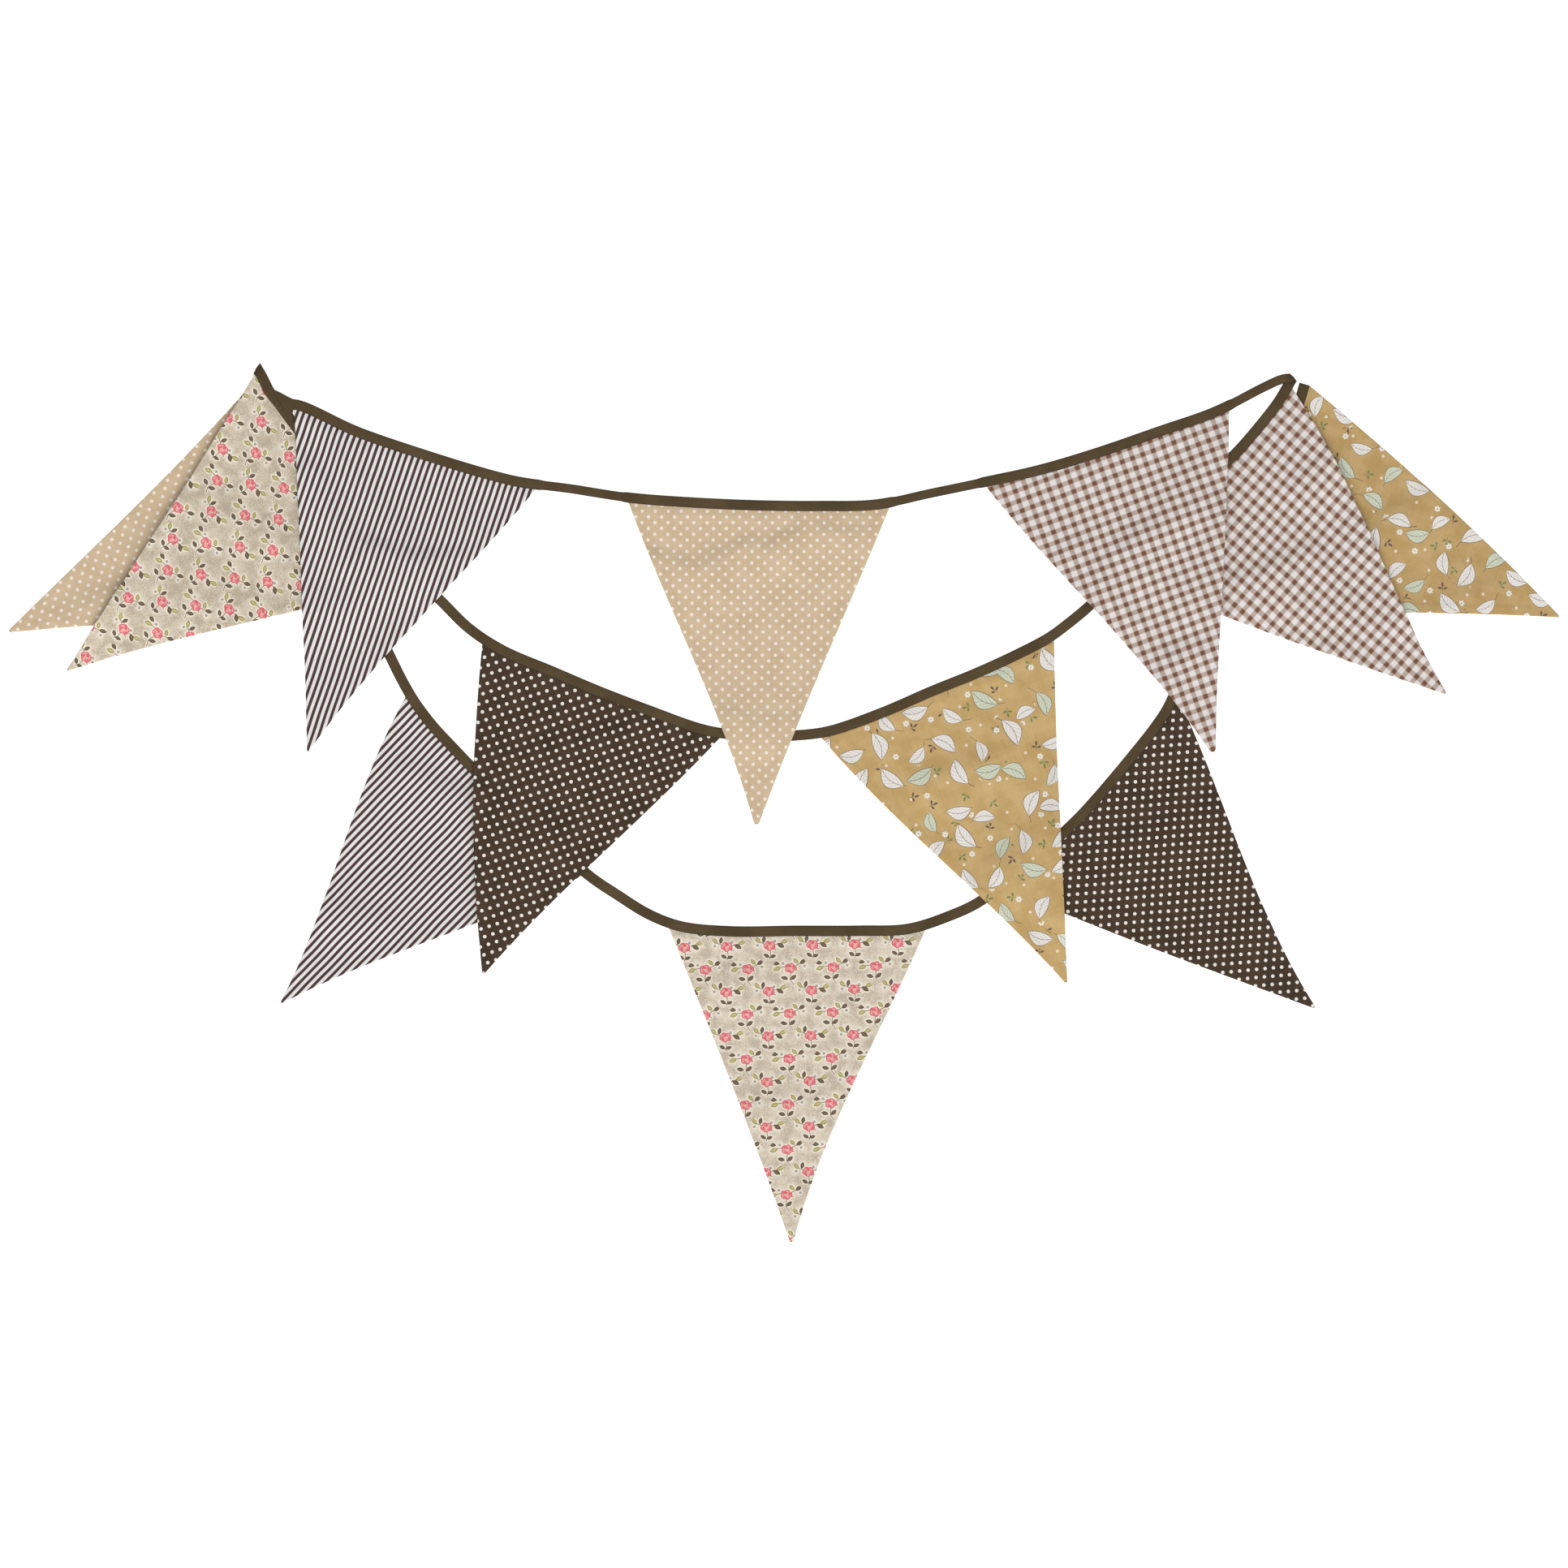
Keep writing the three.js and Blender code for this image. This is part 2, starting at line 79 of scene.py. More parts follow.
table_mesh = bpy.data.meshes.new("table")
table_corners = [(x * TABLE_HALF_WIDTH, y * TABLE_HALF_WIDTH, TABLE_TOP)
                 for x, y in ((-1, -1), (1, -1), (1, 1), (-1, 1))]
table_mesh.from_pydata(table_corners, [], [(0, 1, 2, 3)])
table = bpy.data.objects.new("table", table_mesh)
bpy.context.collection.objects.link(table)
table_finish = bpy.data.materials.new("pale_table")
table_finish.use_nodes = True
table_shader = table_finish.node_tree.nodes["Principled BSDF"]
table_shader.inputs["Base Color"].default_value = TABLE_WHITE
table_shader.inputs["Roughness"].default_value = TABLE_ROUGHNESS
table_shader.inputs["Emission Color"].default_value = WHITE
table_shader.inputs["Emission Strength"].default_value = TABLE_GLOW
table_mesh.materials.append(table_finish)

room = bpy.data.worlds.new("room")
room.use_nodes = True
room_light = room.node_tree.nodes["Background"]
room_light.inputs["Color"].default_value = WHITE
room_light.inputs["Strength"].default_value = ROOM_BRIGHTNESS
bpy.context.scene.world = room

lamp_data = bpy.data.lights.new("studio_lamp", "SUN")
lamp_data.angle = LAMP_SPREAD
lamp_data.energy = LAMP_BRIGHTNESS * math.pi / math.cos(LAMP_TILT)
lamp = bpy.data.objects.new("studio_lamp", lamp_data)
lamp.rotation_euler = (LAMP_TILT, 0, LAMP_TURN)
bpy.context.collection.objects.link(lamp)

# The run of the string
# One length of bias tape runs left to right in the upper swag, is folded back under itself, runs
# right to left in the middle one, is folded back again, and ends at the right of the lowest.

# "side" is where the flags hang: 1 to the right of the run, -1 to its left. "start" and "end" are
# the lines of the tape's cut ends and folds, and "route" is its middle line in millimetres.
STRANDS = {
    "lower": {
        "side": 1, "start": (-0.447, -0.894), "end": (0.96, -0.28),
        "route": [
            (-360.9, 297.4), (-359.6, 279), (-326.5, 214.5), (-289, 142), (-271, 102),
            (-256.6, 74.3), (-243.1, 55.3), (-225.7, 36.3), (-212.2, 22.3), (-170.5, -17.5),
            (-132.5, -51), (-114, -63.5), (-92, -77), (-70, -85), (-37, -88.2), (8, -87.9),
            (52, -87.8), (85.5, -86.5),
            (114, -77.5), (134, -68), (165, -44), (198, -14.5), (214, 2.5), (240.5, 34),
            (256.5, 54.5), (264.5, 67.5), (289.5, 131), (322.5, 210), (352.5, 272.5), (357, 287),
        ],
    },
    "middle": {
        "side": -1, "start": (0.62, -0.79), "end": (-0.447, -0.894),
        "route": [
            (348.5, 291), (339, 275), (331.5, 265), (313, 243), (297.5, 227.5), (236.5, 162.5),
            (209.5, 135), (194.5, 122.5), (181.5, 113), (157.5, 100.5), (130, 88), (101.5, 76.5),
            (68, 62), (34.5, 50), (18.5, 47), (-14.5, 45.5), (-42, 47.5), (-58.5, 51), (-92, 63),
            (-126, 76), (-159, 90), (-193, 104.5), (-216, 119.5), (-237.5, 140.5), (-253.5, 155),
            (-296.5, 209), (-337.8, 262.1), (-345.6, 272.9), (-352.6, 281.8), (-357.5, 291.6),
            (-360.9, 297.4),
        ],
    },
    "upper": {
        "side": 1, "start": (0.49, -0.872), "end": (0.62, -0.79),
        "route": [
            (-343.4, 271.7), (-334, 272.5), (-293, 254.5), (-248, 239), (-204, 225.5),
            (-181.5, 220), (-147.5, 215.5), (-106, 209.2), (-64.5, 206), (-20, 204), (24.5, 203.5),
            (63, 204.5), (102, 212.5), (138, 220), (174.5, 228), (213.5, 239.5), (257, 254.5),
            (295.5, 268), (329.5, 285), (341, 290), (348.5, 291),
        ],
    },
}
TAPE_STEP = 1.5 * MM
FOLD_EASE = 10 * MM
STEPS_BETWEEN_POINTS = 24


def ease(values):
    """Rises smoothly from 0 to 1 while its values do."""
    held = np.clip(values, 0, 1)
    return held * held * (3 - 2 * held)


def smooth_line(points):
    """A smooth line through points, each part of it led by the points on either side as well."""
    points = np.array(points, float)
    led = np.vstack([2 * points[0] - points[1], points, 2 * points[-1] - points[-2]])
    share = np.linspace(0, 1, STEPS_BETWEEN_POINTS + 1)[1:, None]
    line = [points[:1]]
    for before, start, end, after in zip(led, led[1:], led[2:], led[3:]):
        first, middle, last = (math.sqrt(np.linalg.norm(pair[1] - pair[0]))
                               for pair in ((before, start), (start, end), (end, after)))
        straight = (end - start) / middle
        leaving = (start - before) / first - (end - before) / (first + middle) + straight
        coming = straight - (after - start) / (middle + last) + (after - end) / last
        leaving, coming = leaving * middle, coming * middle
        cubic = 2 * start - 2 * end + leaving + coming
        square = -3 * start + 3 * end - 2 * leaving - coming
        line.append(start + leaving * share + square * share**2 + cubic * share**3)
    return np.vstack(line)


class Strand:
    """The middle line of one strand of tape, and the direction of its cross line at each place."""

    def __init__(self, side, start, end, route):
        self.side = side
        self.ends = [np.array(line) / np.linalg.norm(line) for line in (start, end)]
        self.line = smooth_line(route) * MM
        steps = np.linalg.norm(np.diff(self.line, axis=0), axis=1)
        self.reached = np.concatenate([[0], np.cumsum(steps)])
        self.length = self.reached[-1]
        self.marks = np.linspace(0, self.length, math.ceil(self.length / TAPE_STEP) + 1)

    def middle(self, along):
        """Points of the middle line at distances along it."""
        along = np.clip(along, 0, self.length)
        return np.stack([np.interp(along, self.reached, axis) for axis in self.line.T], -1)

    def across(self, along):
        """Lines across the tape towards the flags, swung to the line of a fold near each end."""
        along = np.clip(along, 0, self.length)
        run = self.middle(along + TAPE_STEP) - self.middle(along - TAPE_STEP)
        run /= np.linalg.norm(run, axis=-1, keepdims=True)
        square = np.stack([run[..., 1], -run[..., 0]], -1) * self.side
        line = square
        for away, fold in zip((along, self.length - along), self.ends):
            near = 1 - ease(away / FOLD_EASE)[..., None]
            line = line * (1 - near) + fold * near
        line = line / np.linalg.norm(line, axis=-1, keepdims=True)
        return line / np.sum(line * square, axis=-1, keepdims=True)


strands = {name: Strand(**plan) for name, plan in STRANDS.items()}

# The cut of the flags
# Each flag is two cotton triangles, seamed down both long sides and turned, so that the seam
# allowance makes a thicker band inside each side. The upper edge is left raw inside the tape.

# "along" is where the upper edge sits in its strand's tape. The other pairs give the side that
# comes first along the tape and then the other one: "bow" is how far it bulges out at its middle,
# and "sway" how far it swings out near the tape and in near the tip. "blunt" is the radius of the
# turned tip. All of them are in millimetres.
FLAGS = {
    "tan_dot_flag_2": {"strand": "lower", "along": (9.3, 176.9), "tip": (-531.5, 117.5),
                       "bow": (-2.3, 0.4), "sway": (-0.6, 0.3), "blunt": 1.4},
    "stripe_flag_2": {"strand": "lower", "along": (248, 419.4), "tip": (-345, -137.5),
                      "bow": (0.8, -0.2), "sway": (2.5, 2.0), "blunt": 1.4},
    "rose_flag_2": {"strand": "lower", "along": (488.2, 663), "tip": (5.5, -301.5),
                    "bow": (-1.8, -4.8), "sway": (0.2, 1.7), "blunt": 2.5},
    "brown_dot_flag_2": {"strand": "lower", "along": (724.2, 900), "tip": (364.1, -140.4),
                         "bow": (1.7, -4.0), "sway": (0.3, 2.0), "blunt": 1.4},
    "mustard_flag_2": {"strand": "lower", "along": (965.8, 1135.3), "tip": (531.5, 127.5),
                       "bow": (-0.2, 3.6), "sway": (0.7, -0.2), "blunt": 1.0},
    "gingham_flag_2": {"strand": "middle", "along": (5.8, 178.7), "tip": (454, 75),
                       "bow": (1.4, 2.0), "sway": (2.3, 0.1), "blunt": 1.2},
    "mustard_flag_1": {"strand": "middle", "along": (242.9, 414.9), "tip": (193.6, -123.5),
                       "bow": (-1.0, 0.6), "sway": (-0.2, 1.7), "blunt": 1.5},
    "brown_dot_flag_1": {"strand": "middle", "along": (483.8, 657.8), "tip": (-206.1, -117.3),
                         "bow": (-1.2, 5.8), "sway": (1.2, 0.1), "blunt": 1.2},
    "rose_flag_1": {"strand": "middle", "along": (722.5, 902.4), "tip": (-491.5, 90.6),
                    "bow": (-1.0, -1.5), "sway": (1.3, -0.2), "blunt": 1.2},
    "stripe_flag_1": {"strand": "upper", "along": (8.1, 182.8), "tip": (-326.6, 35),
                      "bow": (-0.9, -2.3), "sway": (0, 1.5), "blunt": 1.2},
    "tan_dot_flag_1": {"strand": "upper", "along": (247.2, 425.5), "tip": (-19, -15),
                       "bow": (-2.8, -1.2), "sway": (1.5, 0.6), "blunt": 3.0},
    "gingham_flag_1": {"strand": "upper", "along": (493.2, 667.4), "tip": (294.2, 34.5),
                       "bow": (-3.1, -0.8), "sway": (1.9, 0.6), "blunt": 3.8},
}
FLAG_WIDTH = 180 * MM
FLAG_LENGTH = 222 * MM
HALF_ANGLE = math.atan(FLAG_WIDTH / 2 / FLAG_LENGTH)

# The cloth's points stand in rows, closer together along the seamed sides and towards the tip.
FLAG_ROWS = 140
TIP_FINENESS = 1.2
SIDE_PLACES = (0, 0.25, 0.7, 1.4)
SIDE_SPACING = 1.3

# These bring a bow's and a sway's largest value to 1.
BOW_SCALE = 4
SWAY_SCALE = 6 * math.sqrt(3)

# The upper edge reaches this far up inside the folded tape.
TAPE_HALF_WIDTH = 3.6 * MM
GRIP_DEPTHS = (5.6 * MM, 5.2 * MM, 2.6 * MM)


def row_places(spans):
    """Places across a row of a flag, closer together at the two seamed sides."""
    count = np.arange(spans + 1)
    marks = np.append(np.arange(len(SIDE_PLACES)), FLAG_ROWS + len(SIDE_PLACES))
    spacing = np.append(SIDE_PLACES, SIDE_PLACES[-1] + (FLAG_ROWS + 1) * SIDE_SPACING)
    near = np.interp(count, marks, spacing)
    far = near[::-1]
    return near / np.maximum(near + far, 1e-9) if spans else np.array([0.5])


def rounded(share, from_apex, radius):
    """Draws the places across a row together, where it crosses the round of the turned tip."""
    round_centre = radius / math.sin(HALF_ANGLE)
    if from_apex >= round_centre * math.cos(HALF_ANGLE) ** 2:
        return share
    round_half = math.sqrt(max(radius**2 - (round_centre - from_apex) ** 2, 0))
    return 0.5 + (share - 0.5) * (round_half / (from_apex * math.tan(HALF_ANGLE)))


def away_from_other(side, other):
    """The line square to a flag's side that points away from its other side."""
    square = np.array([side[1], -side[0]]) / np.linalg.norm(side)
    return square * np.sign(np.dot(square, other - side))


def swing(t, bow, sway):
    """How far a side swings out, at a share of the way from the tape to the tip."""
    return (BOW_SCALE * bow + SWAY_SCALE * sway * (1 - 2 * t)) * t * (1 - t) * MM


class Flag:
    """The flat cut of a flag: rows of points from its upper edge, inside the tape, to its tip."""

    def __init__(self, name, strand, along, tip, bow, sway, blunt):
        self.name = name
        self.strand = strands[strand]
        self.edge_marks = np.minimum(np.array(along) * MM, self.strand.length)
        radius = blunt * MM
        cut_back = radius / math.sin(HALF_ANGLE) - radius
        corners = self.tape_points(np.array([0, 1]), TAPE_HALF_WIDTH)
        centre = corners.mean(axis=0)
        down = np.array(tip) * MM - centre
        length = np.linalg.norm(down) + cut_back
        apex = centre + down / np.linalg.norm(down) * length
        first, last = apex - corners
        outward = (away_from_other(first, last), away_from_other(last, first))

        rows = []
        for depth in GRIP_DEPTHS:
            share = row_places(FLAG_ROWS)
            place = self.tape_points(share, TAPE_HALF_WIDTH - depth)
            rows.append((place, share, np.full(len(share), -depth)))
        for row in range(FLAG_ROWS + 1):
            spans = FLAG_ROWS - row
            left = (spans / FLAG_ROWS) ** TIP_FINENESS
            from_apex = cut_back + (length - cut_back) * left
            t = 1 - from_apex / length
            share = row_places(spans)
            spread = rounded(share, from_apex, radius)
            place = self.tape_points(spread, TAPE_HALF_WIDTH) * (1 - t) + apex * t
            for side, part in enumerate((1 - spread, spread)):
                place += np.outer(part, outward[side] * swing(t, bow[side], sway[side]))
            rows.append((place, share, np.full(len(share), t * length)))
        self.counts = [len(row[0]) for row in rows]
        self.places, self.share, self.depth = (np.concatenate(part) for part in zip(*rows))
        edge = corners[1] - corners[0]
        across = edge * self.strand.side / np.linalg.norm(edge)
        up = np.array([-across[1], across[0]])
        self.print_places = (self.places - centre) @ np.column_stack([across, up])
        width = np.linalg.norm(edge) * np.clip(1 - self.depth / length, 0, 1)
        to_side = np.minimum(self.share, 1 - self.share) * width * math.cos(HALF_ANGLE)
        to_tip = length - cut_back - self.depth
        self.to_edge = np.minimum(to_side, np.maximum(to_tip, 0))

    def tape_points(self, share, inwards):
        """Points of the tape above the flag, at a distance from its middle towards the flag."""
        first, last = self.edge_marks
        along = first + (last - first) * share
        return self.strand.middle(along) + self.strand.across(along) * inwards


flags = {name: Flag(name, **plan) for name, plan in FLAGS.items()}

# How the string lies
# The lowest strand and its flags lie on the table, the middle strand partly over them and the
# upper one over both. Cloth bridges softly down from every edge that it covers.

# For each crease, in millimetres: the ends of the line of its crest, how high it stands, and how
# far its steep slope reaches on its left and its gentle slope on its right.
CREASES = {
    "tan_dot_flag_1": [
        ((-92, 166), (-66, 160), 2.0, 13, 40), ((-58, 158), (-24, 174), 2.5, 13, 44),
        ((-12, 171), (8, 182), 2.2, 12, 36), ((12, 184), (54, 183), 1.8, 12, 36),
        ((-30, 60), (-2, 66), 1.0, 22, 30),
    ],
    "stripe_flag_1": [
        ((-325, 226), (-300, 164), 2.4, 15, 20), ((-284, 174), (-256, 164), 2.6, 13, 36),
        ((-256, 164), (-224, 166), 2.2, 13, 36),
    ],
    "rose_flag_1": [
        ((-452, 138), (-398, 158), 2.0, 18, 40), ((-392, 196), (-345, 176), 1.8, 18, 30),
        ((-420, 98), (-372, 90), 1.6, 18, 28),
    ],
    "gingham_flag_1": [
        ((236, 174), (292, 206), 2.0, 15, 44), ((200, 170), (236, 124), 1.8, 16, 34),
        ((262, 96), (300, 104), 1.6, 18, 40),
    ],
    "gingham_flag_2": [
        ((312, 148), (362, 170), 2.6, 15, 42), ((352, 214), (374, 232), 2.0, 14, 30),
        ((376, 104), (418, 118), 1.6, 18, 40),
    ],
    "brown_dot_flag_1": [
        ((-182, 30), (-112, 48), 2.0, 16, 40), ((-206, -34), (-160, -20), 1.6, 18, 36),
    ],
    "mustard_flag_1": [((92, 12), (150, 30), 2.0, 17, 40), ((150, -44), (188, -30), 1.6, 18, 36)],
    "mustard_flag_2": [((392, 176), (440, 206), 2.2, 16, 38), ((440, 128), (486, 142), 1.6, 18, 26)],
    "brown_dot_flag_2": [
        ((232, -30), (290, -4), 2.2, 16, 40), ((290, -98), (330, -80), 1.6, 18, 36),
    ],
    "stripe_flag_2": [
        ((-262, 20), (-206, -6), 2.0, 16, 40), ((-318, -74), (-278, -84), 1.8, 18, 30),
    ],
    "rose_flag_2": [((-56, -130), (0, -116), 1.8, 18, 40), ((-18, -214), (28, -204), 1.6, 20, 36)],
    "tan_dot_flag_2": [
        ((-440, 170), (-390, 206), 1.8, 16, 32), ((-496, 126), (-462, 138), 1.4, 18, 24),
    ],
}
CREASE_END = 16 * MM

# A side that stands off what it covers: which one, over which part of the way from the tape to
# the tip, and, in millimetres, how high and how far in.
CURLS = {
    "rose_flag_1": [(1, (0.04, 0.97), 3.6, 26)],
    "gingham_flag_2": [(0, (0.06, 0.9), 2.8, 24)],
    "mustard_flag_1": [(0, (0.3, 0.95), 2.4, 22)],
    "stripe_flag_1": [(0, (0.1, 0.8), 1.8, 18)],
    "brown_dot_flag_1": [(1, (0.2, 0.9), 2.0, 20)],
    "gingham_flag_1": [(1, (0.2, 0.9), 1.6, 18)],
}
CURL_EASE = 0.15

# The height of the cloth laid so far is kept on square cells. Cloth that covers an edge comes down
# from it by the share FALL of the way that it has gone.
CELL = 1 * MM
PILE_HALF_WIDTH = 0.56
PILE_HALF_DEPTH = 0.33
LAY_GAP = 0.35 * MM
COVER_CELLS = 2
EDGE_CELLS = 4
SOFTNESS_CELLS = 2
FALL = 0.16
FALL_STEPS = (1, 2, 4, 8, 16, 32)

# A flag is thickest at its seams, and flat where the tape presses it, with small puckers below.
SEAM_THICKNESS = 1.3 * MM
CLOTH_THICKNESS = 0.95 * MM
SEAM_WIDTHS = (4.8 * MM, 7.0 * MM)
EDGE_ROUNDING = 0.7 * MM
PRESSED = 0.6 * MM
PRESSED_EASE = 6 * MM
TAPE_EASE = 12 * MM
FREE_EASE = 8 * MM
RIPPLE = 0.5 * MM
RIPPLE_LENGTHS = (28 * MM, 75 * MM)
RIPPLES = 6
PUCKER = 0.09 * MM
PUCKER_LENGTH = 8.5 * MM
PUCKER_EASE = 3 * MM
PUCKER_REACH = 16 * MM
FLAG_SEEDS = {"lower": 0, "middle": 10, "upper": 20}

# The tape's two leaves close on each other between the flags. It is gathered where the lowest
# strand is folded under, and spread open at the cut end where the upper strand starts.
LEAF = 0.45 * MM
GRIP_SLOT = PRESSED + 0.24 * MM
CLOSED_SLOT = 0.12 * MM
SLOT_EASE = 4 * MM
CLOSED_HALF_WIDTHS = {"lower": 3.6 * MM, "middle": 3.6 * MM, "upper": 3.15 * MM}
CLOSING_EASE = 5 * MM
GATHERED = 0.42
SPREAD = 8.7 * MM
SPREAD_EASE = 8 * MM
TAPE_REST = 0.2 * MM
TAPE_LINES = (-1, -0.5, 0, 0.5, 1)


def widened(grid, cells):
    """Every cell takes the highest value within a few cells of it."""
    for axis in (0, 1):
        grid = np.max([np.roll(grid, step, axis) for step in range(-cells, cells + 1)], axis=0)
    return grid


def softened(grid, cells):
    """Every cell takes the mean of the cells around it."""
    for axis in (0, 1):
        grid = np.mean([np.roll(grid, step, axis) for step in range(-cells, cells + 1)], axis=0)
    return grid


class Pile:
    """The height of the cloth laid so far, kept on a square grid over the table."""

    def __init__(self):
        self.top = np.zeros((round(2 * PILE_HALF_DEPTH / CELL), round(2 * PILE_HALF_WIDTH / CELL)))

    def grid_place(self, places):
        """Rows and columns of the grid, with their fractions, for points of the table."""
        rows = (places[:, 1] + PILE_HALF_DEPTH) / CELL - 0.5
        columns = (places[:, 0] + PILE_HALF_WIDTH) / CELL - 0.5
        return rows, columns

    def cells(self, places):
        """The row and column of the cell that each point of the table is in."""
        row, column = self.grid_place(places)
        return np.rint(row).astype(int), np.rint(column).astype(int)

    def add(self, places, heights):
        """Lays cloth with its upper surface at the heights given."""
        np.maximum.at(self.top, self.cells(places), heights)

    def support(self, places):
        """The lowest that cloth over these places can lie, bridging down from what it covers."""
        covered = np.zeros_like(self.top)
        covered[self.cells(places)] = 1
        covered = widened(covered, COVER_CELLS)
        resting = np.where((self.top > 0) & (covered > 0), self.top + LAY_GAP, 0)
        resting = widened(resting, EDGE_CELLS)
        for step in FALL_STEPS:
            for down in (-step, 0, step):
                for right in (-step, 0, step):
                    drop = FALL * CELL * math.hypot(down, right)
                    resting = np.maximum(resting, np.roll(resting, (down, right), (0, 1)) - drop)
        return softened(softened(resting, SOFTNESS_CELLS), SOFTNESS_CELLS)

    def sample(self, grid, places):
        """A grid's values at points of the table, blended from the four cells round each."""
        row, column = self.grid_place(places)
        low_row, low_column = np.floor(row).astype(int), np.floor(column).astype(int)
        up, right = row - low_row, column - low_column
        return (grid[low_row, low_column] * (1 - up) * (1 - right)
                + grid[low_row + 1, low_column] * up * (1 - right)
                + grid[low_row, low_column + 1] * (1 - up) * right
                + grid[low_row + 1, low_column + 1] * up * right)


def crease_lift(name, places):
    """How far a flag's creases lift its points."""
    lift = np.zeros(len(places))
    for start, end, rise, steep, gentle in CREASES[name]:
        start, end = np.array(start) * MM, np.array(end) * MM
        length = np.linalg.norm(end - start)
        run = (end - start) / length
        along = (places - start) @ run
        across = (places - start) @ np.array([-run[1], run[0]])
        past = np.maximum(np.maximum(-along, along - length), 0)
        reach = np.where(across > 0, steep, gentle) * MM
        one = rise * MM * (1 - ease(abs(across) / reach)) * (1 - ease(past / CREASE_END))
        lift = np.maximum(lift, one)
    return lift


def curl_lift(flag):
    """How far a flag's raised sides lift its points."""
    lift = np.zeros(len(flag.places))
    length = flag.depth.max()
    for side, (start, end), rise, reach in CURLS.get(flag.name, []):
        t = flag.depth / length
        part = ease((t - start) / CURL_EASE) * ease((end - t) / CURL_EASE)
        share = flag.share if side == 0 else 1 - flag.share
        inwards = share * FLAG_WIDTH * np.clip(1 - t, 0, 1)
        lift += rise * MM * part * (1 - ease(inwards / (reach * MM)))
    return lift


def ripple(places, seed):
    """The slight unevenness of pressed cotton that has been handled, never below zero."""
    chance = np.random.default_rng(seed)
    total = np.zeros(len(places))
    for _ in range(RIPPLES):
        length = chance.uniform(*RIPPLE_LENGTHS)
        direction, phase = chance.uniform(0, 2 * math.pi, 2)
        along = places @ np.array([math.cos(direction), math.sin(direction)])
        total += np.sin(2 * math.pi * along / length + phase)
    return RIPPLE * (1 + total / RIPPLES)


def held_at(strand, along, margin):
    """1 where a flag is sewn into the tape, falling to 0 over a margin past each flag's ends."""
    held = np.zeros(len(along))
    for flag in flags.values():
        if flag.strand is strand:
            past = np.maximum(flag.edge_marks[0] - along, along - flag.edge_marks[1])
            held = np.maximum(held, 1 - ease((past - margin / 4) / margin))
    return held


def lay_flag(flag, pile, support, seed):
    """Sets the under and upper heights of a flag whose tape is laid."""
    base = pile.sample(support, flag.places)
    first, last = flag.edge_marks
    middle = np.interp(first + (last - first) * flag.share, flag.strand.marks, flag.strand.mid)
    lips = slice(sum(flag.counts[:len(GRIP_DEPTHS)]), sum(flag.counts[:len(GRIP_DEPTHS) + 1]))
    lip_base = np.interp(flag.share, flag.share[lips], base[lips])
    hold = 1 - ease(flag.depth / TAPE_EASE)
    pucker = 1 + np.sin(2 * math.pi * flag.share * FLAG_WIDTH / PUCKER_LENGTH + seed)
    pucker *= PUCKER * ease(flag.depth / PUCKER_EASE) * (1 - ease(flag.depth / PUCKER_REACH))
    low = base + (middle - PRESSED / 2 - lip_base) * hold + pucker
    lift = ripple(flag.places, seed) + crease_lift(flag.name, flag.places) + curl_lift(flag)
    low += lift * ease(flag.depth / FREE_EASE)
    gripped = flag.depth < 0
    low[gripped] = middle[gripped] - PRESSED / 2
    seam = 1 - ease((flag.to_edge - SEAM_WIDTHS[0]) / (SEAM_WIDTHS[1] - SEAM_WIDTHS[0]))
    cloth = CLOTH_THICKNESS + (SEAM_THICKNESS - CLOTH_THICKNESS) * seam
    thick = PRESSED + (cloth - PRESSED) * ease(flag.depth / PRESSED_EASE)
    short = 1 - np.clip(flag.to_edge / EDGE_ROUNDING, 0, 1)
    fullness = np.sqrt(1 - short**2)
    fullness[:flag.counts[0]] = 0
    flag.low = low + thick / 2 * (1 - fullness)
    flag.high = low + thick / 2 * (1 + fullness)


pile = Pile()
for strand_name, strand in strands.items():
    own = [flag for flag in flags.values() if flag.strand is strand]
    middle, across = strand.middle(strand.marks), strand.across(strand.marks)
    strand.slot = CLOSED_SLOT + (GRIP_SLOT - CLOSED_SLOT) * held_at(strand, strand.marks, SLOT_EASE)
    closed = CLOSED_HALF_WIDTHS[strand_name]
    strand.half = closed + (TAPE_HALF_WIDTH - closed) * held_at(strand, strand.marks, CLOSING_EASE)
    if strand_name == "lower":
        strand.half *= 1 - GATHERED * (1 - ease(strand.marks / FOLD_EASE))
    if strand_name == "upper":
        strand.half += SPREAD * (1 - ease(strand.marks / SPREAD_EASE))
    tape_lines = [middle + across * TAPE_HALF_WIDTH * share for share in TAPE_LINES]
    support = pile.support(np.vstack([flag.places for flag in own] + tape_lines))
    strand.low = np.max([pile.sample(support, line) for line in tape_lines], axis=0) + TAPE_REST
    strand.mid = strand.low + LEAF + strand.slot / 2
    for seed, flag in enumerate(own):
        lay_flag(flag, pile, support, seed + FLAG_SEEDS[strand_name])
    for flag in own:
        pile.add(flag.places, flag.high)
    for line in tape_lines:
        pile.add(line, strand.mid + strand.slot / 2 + LEAF)


# Striped flags
# Two flags of a yarn-dyed stripe, plum-brown on off-white, cut with the stripes running from the
# tape to the tip. All the flags are plain-woven quilting cotton, and are sewn in the same way.
YARN = 0.42 * MM
YARN_RELIEF = 0.05 * MM
SLUB_LENGTH = 22
SLUB_FINENESS = 900
SLUB_STRENGTH = 0.10
# How much lighter the colour is painted where the yarns stand high than between them, a painted shade
# of the weave.
YARN_SHADE = 0.10
WEAVE_BRIGHTNESS = 0.955
DRIFT_FINENESS = 28
MOTTLING = (0.3, 0.7)
COTTON_ROUGHNESS = 0.9
COTTON_GLOSS = 0.12
COTTON_SHEEN = 0.03
SHEEN_ROUGHNESS = 0.5
BACK_SHIFT = (37 * MM, 11 * MM)

